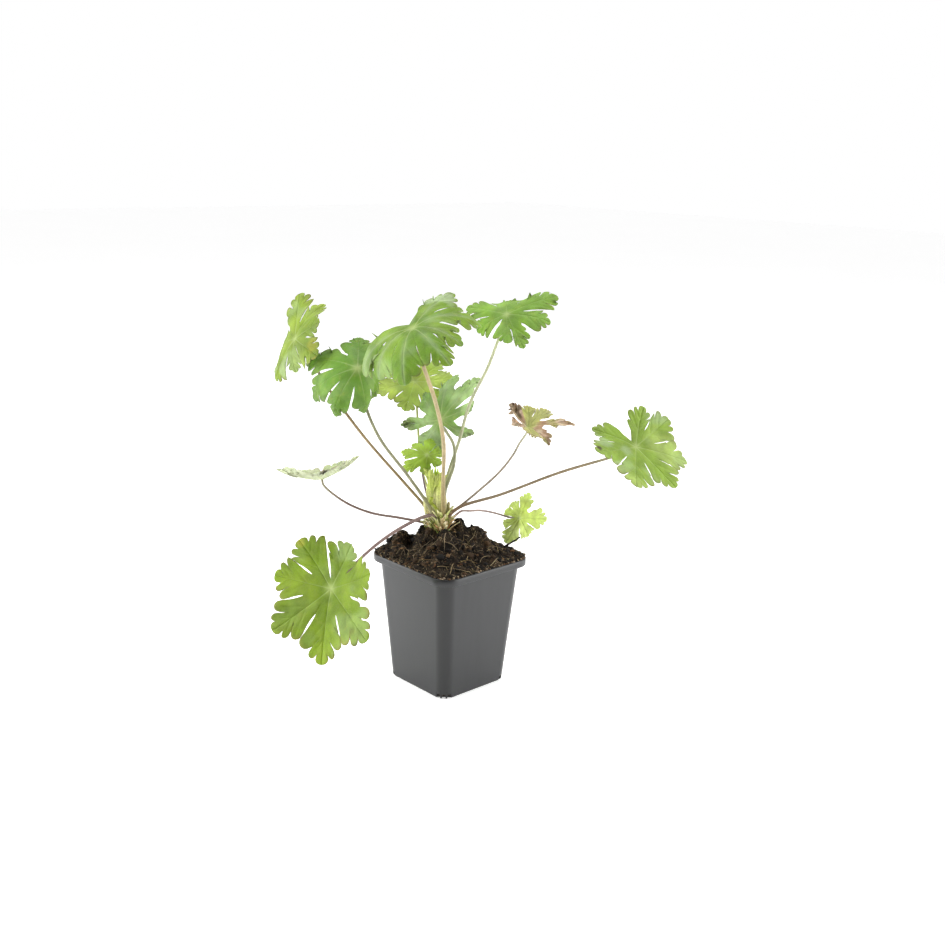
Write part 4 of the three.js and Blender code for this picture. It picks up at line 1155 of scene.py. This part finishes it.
def blade_tints(part, look, flat, field, reach, seed):
    """Colours of the upper and lower face at each point, laid over the green one by one; among them
    a painted sheen, a painted highlight along the main veins and painted shade round the heart.
    """
    across = field["across"]
    # Painted highlight: a pale line along each lobe's main vein.
    painted_rib_highlight = look["painted_rib_highlight"] * np.exp(-(field["rib"] / (0.05 * part["radius"])) ** 2)
    paper = mix(rgb(LEAF_HEX["dry"]), rgb(LEAF_HEX["drier"]),
                smooth(-0.3, 0.3, noise(flat, 4, seed)))
    dry = noise(flat, 9, seed + 5, 2) + by_lobe(look["dry"], field) * 1.6 - 0.9
    burnt = smooth(-0.25, 0.15, noise(flat, 3.5, seed + 11, 2) + 0.9 * (reach - 0.7))
    line = smooth(0.86, 1.0, across) * smooth(0.3, 0.6, reach)
    edge = smooth(0.8, 1.0, across) * smooth(0.55, 0.85, reach)
    edge = edge * smooth(-0.15, 0.4, noise(flat, 5, seed + 6))
    tip = smooth(0.94, 1.0, across) * smooth(0.15, 0.5, noise(flat, 3.2, seed + 7))
    layers = ((rgb(look["light"]), 0.35 * smooth(0.5, 1.0, reach)),
              # Painted sheen: a patchy pale grey-green, stronger on some lobes; then a painted
              # highlight along the main veins.
              (rgb(LEAF_HEX["painted_sheen"]),
               by_lobe(look["painted_sheen"], field) * smooth(-0.1, 0.5, noise(flat, 12, seed + 3))),
              (rgb(LEAF_HEX["painted_rib_highlight"]), painted_rib_highlight * smooth(0.1, 0.4, reach)),
              (paper, smooth(-0.1, 0.35, dry)),
              (rgb(LEAF_HEX["dark"]), by_lobe(look["dark"], field) * burnt),
              (rgb(look["rim"]), 0.55 * line),
              (rgb(look["rust"]), edge * look["edge"]),
              (rgb(LEAF_HEX["tips"]), tip * smooth(0.6, 0.8, reach) * look["tips"]))
    base = mix(rgb(look["green"]), rgb(look["light"]),
               smooth(-0.35, 0.6, noise(flat, 17, seed + 2, 2)))
    for colour, share in layers:
        base = mix(base, colour, share)
    # Painted shade: darker in a ring round the heart, where the blade funnels down.
    base = base * (1 - look["deep"] * np.exp(-((reach - 0.16) / 0.13) ** 2))[:, None]
    base = mix(base, rgb(LEAF_HEX["heart"]), 0.75 * np.exp(-(reach / 0.07) ** 2))
    back = mix(base, rgb(look["back"]), 0.45)
    for lobe, along, off, size, colour, strength in look["spots"]:
        axis = math.radians(LOBE_ANGLES[lobe] + part["swing"][lobe])
        spot = part["radius"] * np.array((along, off))
        spot = np.array((spot[0] * math.cos(axis) - spot[1] * math.sin(axis),
                         spot[0] * math.sin(axis) + spot[1] * math.cos(axis)))
        far = np.linalg.norm(flat - spot, axis=1) * (1 + 0.25 * noise(flat, 1.5, seed + 8))
        share = strength * smooth(size, size * 0.45, far)
        base, back = mix(base, rgb(colour), share), mix(back, rgb(colour), share)
    return base, back


def stalk_line(part, samples):
    """Middle line of a stalk, from its foot in the crown to the blade."""
    matrix = leaf_matrix(part)
    slope = math.tan(math.radians(min(max(part["cone"], 0), STALK["steepest"])))
    if part["heel"]:
        reach = BLADE["heel"] * part["radius"] + GAP + part["stalk_r"]
        ends = [(-reach, 0, -reach * slope)]
        inside = BLADE["heel"] * part["radius"] * 0.8
        join = (-inside, 0, -inside * slope)
    else:
        shy = BLADE["cad_thickness"] / 2 + GAP + part["stalk_r"] * slope
        ends = [(0, 0, -shy - STALK["lead"]), (0, 0, -shy)]
        join = (0, 0, -0.15)
    line = catmull(np.concatenate([part["path"], moved(matrix, ends)]), samples)
    return np.concatenate([line, moved(matrix, [join])])


def make_stalk(part, look, material, seed):
    """A tapered, faintly bent stalk with a swollen foot and join, and short soft hairs."""
    draw = np.random.default_rng(500 + seed)
    line = stalk_line(part, STALK["samples"])
    share = np.linspace(0, 1, len(line))
    radius = look["thick"] * part["stalk_r"] * (1.08 - 0.2 * share ** 0.8)
    radius = radius * (1 + 0.45 * np.exp(-share / 0.05)) * (1 + 0.2 * np.exp((share - 1) / 0.025))
    radius = radius * (1 + 0.05 * noise(line, 9, seed))
    radius[-1] = 0.3 * part["stalk_r"]
    sides = STALK["sides"]
    body, faces, turn, run = tube(line, radius, sides)
    length = run.max()
    at = np.clip(run / length, 0, 1)
    ridges = 1 + 0.05 * np.cos(turn * 5 + run * 0.05)
    centre = np.stack([np.interp(run, run[:-2:sides], line[:, k]) for k in range(3)], 1)
    body = centre + (body - centre) * ridges[:, None]
    foot, main, high = (rgb(c) for c in look["stalk"])
    tint = mix(mix(foot, main, smooth(0.03, 0.3, at)), high, smooth(0.72, 1, at))
    mottle = noise(np.stack([turn, run * 0.25, run * 0], 1), 0.8, seed, 2)
    tint = tint * (1 + 0.16 * mottle)[:, None]
    shape = Shape(tint=3, flat=3)
    shape.add(body, faces, tint=tint, flat=np.stack([np.cos(turn), np.sin(turn), run], 1))
    pale = rgb(LEAF_HEX["hair"]) * 0.9
    for _ in range(int(length * STALK["hairs_per_mm"])):
        k = int(draw.integers(4, len(line) - 3))
        out = unit(np.cross(line[k + 1] - line[k], draw.normal(size=3)))
        base = line[k] + out * radius[k] * 0.9
        tip = base + (out + 0.25 * draw.normal(size=3)) * draw.uniform(0.35, 0.8)
        hair, skin, _, _ = tube([base, tip], STALK["hair_r"], 3)
        shape.add(hair, skin, tint=pale, flat=(0, 0, 0))
    shape.piece(part["name"] + "_petiole", material, "stalk", part["name"] + "_stalk")


# What a look has unless it says otherwise.
USUAL_LOOK = dict(back="b4c893", close=1.1, curl=0.8, cut=1.0, dark=[0] * 7, deep=0.08, dry=[0] * 7,
                  edge=0.5, fold=0.04, open=0.0, rim="7d8452", roll=[0] * 7, rust="8a6a3c",
                  slim=[1] * 7, spots=(), painted_rib_highlight=0, thick=1.0, tips=0.6, veins=0.3, wave=1.0,
                  painted_sheen=[0.15] * 7)
# How each blade and stalk looks. Lists have one value per lobe from the heel's left round to its
# right; spots are (lobe, along, aside, size, colour, strength); stalk is (foot, middle, end).
# Among the looks, the pale sheen per lobe, the highlight along the main veins and the darkening
# round the heart are painted light and shade.
LOOKS = {
    "leaf_01": dict(green="7c9822", light="9cb23c", painted_sheen=[.1, .1, .1, .3, .5, .6, .3], veins=.35,
                    stalk=("a08e66", "94805e", "a8a084"), thick=1.12, edge=.4, tips=.4, fold=-.08,
                    spots=((0, .57, .1, 7, "b8ae34", .5), (0, .8, -.1, 5, "cdbb48", .5))),
    "leaf_02": dict(green="62921f", light="76a02e", painted_sheen=[0, .1, 0, .1, .1, .1, .2],
                    deep=.05, fold=-.2, open=.05, thick=1.12, edge=.25, tips=.35,
                    stalk=("a09c74", "929074", "988e7a")),
    "leaf_03": dict(green="689212", light="84a628", painted_sheen=[.5, .4, .4, 0, 0, .3, 1], veins=.42,
                    stalk=("a09060", "b2a07a", "9c8270"), edge=.25, tips=.3, wave=1.2, fold=-.2,
                    painted_rib_highlight=.35, slim=[1, 1.25, 1.2, 1, 1, 1, 1]),
    "leaf_04": dict(green="7eaa34", light="90ba42", painted_sheen=[.1] * 7, veins=.16, fold=-.2, open=.02,
                    deep=.12, tips=.55, thick=1.2, stalk=("b4b07c", "b8ba98", "c0c4a0")),
    "leaf_05": dict(green="a2be44", light="c2d45c", painted_sheen=[.15] * 7, fold=-.1,
                    stalk=("b6b878", "a9ac6c", "b6b98a"), edge=.3),
    "leaf_06": dict(green="8ab256", light="b2d286", painted_sheen=[.4, .2, .3, .3, .4, .1, .5], veins=.45,
                    cut=.72, fold=-.22, stalk=("a0a070", "9a9b7c", "a5a684"), edge=.3,
                    rim="5a6a48", wave=1.4, painted_rib_highlight=.35, open=.05, curl=1.1, tips=.5, thick=1.15,
                    roll=[.3, .2, 0, 0, .1, .35, .1], dark=[.35, 0, 0, 0, 0, .35, 0],
                    slim=[.8, 1, 1.05, 1.05, 1, .68, 1.3]),
    "leaf_07": dict(green="a6c83c", light="c8de5c", painted_sheen=[.05] * 7, veins=.15, fold=-.14,
                    deep=.2, open=.05, edge=.3, wave=1.2, rim="7c9440",
                    stalk=("a08c78", "86747a", "8a7c74")),
    # Its lime green is partly its own colour and partly painted light shining through the leaf.
    "leaf_08": dict(green="e6f272", light="f0f894", painted_sheen=[0] * 7, back="ecf49c",
                    stalk=("cdd474", "cbda5e", "ccde58"), edge=.05, tips=.1),
    "leaf_09": dict(green="c4c46c", light="d8d68c", painted_sheen=[.1] * 7,
                    dry=[1, .5, .75, .6, .3, .2, 1], dark=[.85, .05, .6, .1, 0, 0, .85],
                    roll=[.25, .1, 0, .1, 0, 0, .3], stalk=("80685c", "8e8272", "b8b8a0"),
                    edge=.8, rim="b59a80", rust="d8c2a4", tips=.9, wave=1.6, curl=1.2,
                    back="c4a88c", slim=[1.3, 1.1, 1, .85, 1, 1, 1.2]),
    "leaf_10": dict(green="90ae40", light="aec466", painted_sheen=[.7, .7, .4, .2, .3, .6, .7], fold=-.08,
                    stalk=("7d6650", "8a7a60", "b0ac94"), thick=1.1, edge=.4, rim="8d9160",
                    rust="93894f", tips=.5, close=.95,
                    spots=((1, .79, -.06, 3, "4a3428", .95),)),
    # Its lime green is partly its own colour and partly painted light shining through the leaf.
    "leaf_11": dict(green="cce068", light="dcea90", painted_sheen=[.1] * 7, veins=.25,
                    stalk=("8e7470", "98827a", "bab4a0"), thick=1.2, edge=.05, tips=.15,
                    spots=((6, .47, .3, 2, "4c4434", .8),)),
    "leaf_12": dict(green="d6dab4", light="e8ecd4", painted_sheen=[.4] * 7, edge=.25, rim="b0ad88",
                    rust="9a8a6c", stalk=("7a6460", "7f6a62", "a8a08c"), thick=1.25,
                    back="e2e9ce", tips=.3,
                    spots=((5, .78, .2, 6, "d2b48e", .8), (5, .64, .12, 4.4, "33241e", 1),
                           (6, .73, -.12, 4, "c4a890", .6))),
    "leaf_13": dict(green="7a9810", light="92ac26", painted_sheen=[.1, .1, .1, .15, .25, .35, .3],
                    stalk=("8f7a74", "856f6a", "8a706a"), thick=1.1, edge=.45, rim="847c4c",
                    rust="a08a3c", tips=.8, fold=-.06,
                    spots=((0, .7, 0, 4.5, "c4c04a", .7), (4, .7, -.09, 3, "8a6a3c", .25),
                           (2, .95, -.03, 3, "8a5a3c", .5))),
}


# ------------------------------------------------------------------ crown
def tones(*pairs):
    """Foot and tip colours of each kind of scale."""
    return [(rgb(foot), rgb(tip)) for foot, tip in pairs]


PAPERY = tones(("ccc880", "f0ecb8"), ("d8c88c", "f6eecc"), ("b09864", "e4cc9c"),
               ("c0c868", "e6eca0"))
RUSTY = tones(("6a4a2c", "b88a56"), ("8a5a34", "dcae74"))
MOSSY = tones(("8e9a44", "cad47a"), ("b2ae60", "e4e0a4"), ("76883a", "b6c268"))
SCALE = dict(count=104, low_count=26, half=0.11, golden=0.618)
# Tall pale sheaths round the stalks' feet: pixel column, lean to the right, length, depth behind
# the crown's front, colour of the tip. Their feet lie in one pixel row.
SHEATH_ROW, SHEATH_FOOT = 514, rgb("dcd6a4")
SHEATHS = ((426.5, -.1, 14, 1, "d4d888"), (429, -.05, 24, 1.5, "dce67c"),
           (430.5, -.03, 32, .4, "d2ea54"), (432.5, -.02, 36, .2, "cce848"),
           (434.5, 0, 37, .2, "c8e844"), (436.5, .01, 36, .4, "cee84c"),
           (438, .01, 33, 1, "d4ea5c"), (431.5, -.02, 26, .2, "e0ec84"),
           (437, .01, 24, .2, "e2ea88"), (434, 0, 19, .1, "e6e898"), (440, .01, 33, 4, "d6ea5c"),
           (441, .01, 27, 5, "e0e08c"), (444, .07, 14, 1.5, "dcd49c"),
           (447, .12, 10, 1.5, "d4c898"))
# Tufts of moss: pixel, count and spread in mm.
MOSS_TUFTS = ((431, 525, 110, 4.2), (436, 530, 60, 3.4), (427, 521, 40, 2.6), (440, 517, 70, 4.4),
              (446, 519, 50, 4.0))


def scale_leaf(shape, foot, direction, length, width, cup, colours, bend=0.25, rows=7,
               facing=None):
    """A thin two-sided scale, curved away from what it grows on; blunt if it has a facing."""
    direction = unit(direction)
    out = facing
    if facing is None:
        out = unit(np.array((direction[0], direction[1], 0)) + (1e-6, 0, 0))
    side = unit(np.cross(out, (0, 0, 1)))
    outward = unit(np.cross(side, direction))
    if outward @ out < 0:
        outward = -outward
    upper, lower, shade = [], [], []
    for k in range(rows):
        t = k / (rows - 1)
        half = width * (math.sin(math.pi * (0.16 + 0.84 * t)) ** 0.8) * (1 - 0.25 * t) + 0.04
        if facing is not None:
            half = width * math.sqrt(min(1, (1.02 - t) / 0.3))
        centre = foot + direction * length * t + out * bend * length * t * t
        for j in (-1, -0.5, 0, 0.5, 1):
            spot = centre + side * half * j - outward * cup * width * j * j
            thick = outward * SCALE["half"] * (1 - 0.6 * abs(j))
            upper.append(spot + thick)
            lower.append(spot - thick)
            shade.append(t)
    count = len(upper)
    faces = []
    for k in range(rows - 1):
        for j in range(4):
            a = k * 5 + j
            faces.append((a, a + 1, a + 6, a + 5))
            faces.append((a + count, a + count + 5, a + count + 6, a + count + 1))
    ring = list(range(5)) + [k * 5 + 4 for k in range(1, rows)]
    ring += [(rows - 1) * 5 + j for j in (3, 2, 1, 0)] + [k * 5 for k in range(rows - 2, 0, -1)]
    for k, a in enumerate(ring):
        b = ring[(k + 1) % len(ring)]
        faces.append((a, a + count, b + count, b))
    tint = mix(colours[0], colours[1], np.array(shade * 2))
    shape.add(np.array(upper + lower), faces, tint=tint)


def crown_spot(turn, height, inset=0.0):
    """Place on the crown's side at a height from -1 to 1."""
    radius = CROWN["radius"] * math.sqrt(max(0.05, 1 - height * height)) - inset
    return np.array(CROWN["centre"], float) + (radius * math.cos(turn), radius * math.sin(turn),
                                               CROWN["height"] * height)


def make_crown(core_material, scale_material):
    """The core, the sheaths and scales round it, and the moss at its foot."""
    draw = np.random.default_rng(77)
    shape = Shape(tint=3)
    points, faces = ball(5)
    body = points * (CROWN["radius"] - 0.8, CROWN["radius"] - 0.8, CROWN["height"] - 1)
    body = body * (1 + 0.1 * noise(points, 0.35, 2, 3))[:, None] + np.array(CROWN["centre"])
    tint = mix(rgb("3a2716"), rgb("b4b064"), smooth(118, 128, body[:, 2] + 3 * noise(body, 3, 4)))
    shape.add(body, faces, tint=tint)
    shape.piece("crown_core", core_material, "crown", "crown")

    shape = Shape(tint=3)
    to_camera = unit(-LOOK * (1, 1, 0))
    for px, lean, length, depth, tip in SHEATHS:
        reach = moss_depth(px, SHEATH_ROW) + depth
        scale_leaf(shape, EYE + seen_along(px, SHEATH_ROW) * reach,
                   RIGHT * lean + to_camera * 0.03 + (0, 0, 1), length, draw.uniform(1.3, 1.8),
                   0.45, (SHEATH_FOOT, rgb(tip)), 0.02, 9, to_camera)
    for k in range(SCALE["count"]):
        turn = TAU * SCALE["golden"] * k + draw.normal() * 0.15
        height = draw.uniform(-0.45, 0.72)
        lean = draw.uniform(0.15, 0.75) * (1.2 - height)
        direction = np.array((math.cos(turn) * lean, math.sin(turn) * lean, 1.0))
        pool = PAPERY if height > 0.0 or draw.random() < 0.5 else RUSTY
        scale_leaf(shape, crown_spot(turn, height, 0.9), direction, draw.uniform(5.5, 11),
                   draw.uniform(0.8, 1.7), 0.35, one_of(draw, pool), draw.uniform(0.1, 0.5))
    for _ in range(SCALE["low_count"]):
        turn = draw.uniform(-1.5, 0.9) - 0.73
        foot = crown_spot(turn, draw.uniform(-0.55, -0.05), 0.3)
        direction = np.array((math.cos(turn), math.sin(turn), draw.uniform(-0.3, 0.7)))
        scale_leaf(shape, foot, direction, draw.uniform(2.5, 6), draw.uniform(0.5, 1.1), 0.4,
                   one_of(draw, RUSTY), draw.uniform(0, 0.3), 5)
    shape.piece("crown_scales", scale_material, "crown")

    shape = Shape(tint=3)
    for px, py, count, spread in MOSS_TUFTS:
        base = EYE + seen_along(px, py) * moss_depth(px, py)
        for _ in range(count):
            foot = base + draw.normal(size=3) * (spread / 2, spread / 2, spread / 2.6)
            direction = draw.normal(size=3) + (0, 0, 0.8)
            scale_leaf(shape, foot, direction, draw.uniform(1.4, 3.0), draw.uniform(0.3, 0.6),
                       0.3, one_of(draw, MOSSY), 0.1, 4)
    shape.piece("crown_moss", scale_material, "crown")


def moss_depth(px, py):
    """Reach along a pixel's ray to the crown's front or, below it, the compost."""
    ray = seen_along(px, py)
    centre, size = np.array(CROWN["centre"]), np.array((CROWN["radius"],) * 2 + (CROWN["height"],))
    o, d = (EYE - centre) / size, ray / size
    a, b, c = d @ d, o @ d, o @ o - 1
    inside = b * b - a * c
    hit = (-b - math.sqrt(inside)) / a if inside > 0 else -b / a
    spot = on_soil(px, py)
    ground = (spot - EYE) @ LOOK if spot is not None else 1e6
    return min(hit, ground)


# ------------------------------------------------------------------ stage
# Lamps: name, place to the right of, above and beyond the plant, watts, size in m.
LAMPS = (("left", -1200, 350, -150, 18, 1.2), ("right", 1200, 350, -100, 15.5, 1.2),
         ("top", -150, 1300, 250, 15, 1.2))
# The world's light falls from 0.62 behind the plant to 0.05 behind the photographer.
WORLD_RANGE = {"From Min": -0.2, "From Max": 0.8, "To Min": 0.62, "To Max": 0.05}
FLOOR_HALF, AIM = 6000, np.array((0, 0, 140.0))


def make_stage():
    """The floor, the white world and three soft lamps."""
    half = FLOOR_HALF
    floor = linked("studio_floor", mesh_of("studio_floor", [
        (-half, -half, 0), (half, -half, 0), (half, half, 0), (-half, half, 0)], [(0, 1, 2, 3)]))
    floor.data.materials.append(floor_material())
    bpy.context.scene.world = studio_world()
    flat_look, flat_right = unit(LOOK * (1, 1, 0)), unit(RIGHT * (1, 1, 0))
    for name, right, up, ahead, power, size in LAMPS:
        spot = AIM + flat_right * right + flat_look * ahead + np.array((0, 0, up))
        light = bpy.data.lights.new(name, "AREA")
        light.energy, light.size, light.shape = power, size, "DISK"
        lamp = linked(name, light)
        lamp.location = Vector(spot * MM)
        lamp.rotation_euler = Vector(AIM - spot).to_track_quat("-Z", "Y").to_euler()


def studio_world():
    """White surroundings, dimmer on the side of the photographer."""
    t = Tree("studio", world=True)
    facing = t.node("VectorMath", {
        0: t.node("TexCoord").outputs["Generated"],
        1: tuple(unit(-LOOK * (1, 1, 0)))}, operation="DOT_PRODUCT").outputs["Value"]
    dim = t.node("MapRange", {"Value": facing, **WORLD_RANGE})
    lit = t.node("Background", {0: (1, 1, 1), 1: dim})
    shown = t.node("Background", {0: (1, 1, 1)})
    seen = t.node("LightPath").outputs["Is Camera Ray"]
    both = t.node("MixShader", {0: seen, 1: lit, 2: shown})
    return t.done(both.outputs[0], "World")


def make_camera():
    """The camera fitted to the photograph, which is square."""
    data = bpy.data.cameras.new("camera")
    data.sensor_width, data.lens = SENSOR, SENSOR * FOCAL_PX / PHOTO_PX
    data.clip_start, data.clip_end = 0.02, 40
    camera = linked("camera", data)
    turn = Matrix((RIGHT, UP, -LOOK)).transposed().to_4x4()
    camera.matrix_world = Matrix.Translation(Vector(EYE * MM)) @ turn
    bpy.context.scene.camera = camera


make_camera()
make_stage()
bpy.context.scene.view_settings.view_transform = "Standard"

make_pot(pot_material())
make_soil(soil_material())
litter = tinted_material("compost_litter", 1.2, 0.3, 0.88, 0.6, 0.0004)
make_crumbs(litter)
make_fibres(litter)
make_twig(tinted_material("black_bark", 1.4, 0.4, 0.8, 0.8, 0.0004, stretch=(1.0, 0.5, 1.0)))
make_crown(tinted_material("crown_bark", 0.8, 0.35, 0.85, 0.8, 0.0006),
           tinted_material("papery_scales", 1.1, 0.22, 0.7, 0.4, 0.0002, sheen=0.1))
stalk_skin = tinted_material("hairy_stalk", 1.6, 0.2, 0.5, 0.35, 0.0002, sheen=0.1,
                             stretch=(1.3, 1.3, 0.35))
blade_skin = blade_material()
for number, leaf_part in enumerate(LEAVES, 1):
    leaf_look = {**USUAL_LOOK, **LOOKS[leaf_part["name"]]}
    make_stalk(leaf_part, leaf_look, stalk_skin, number)
    make_blade(leaf_part, leaf_look, blade_skin, number)
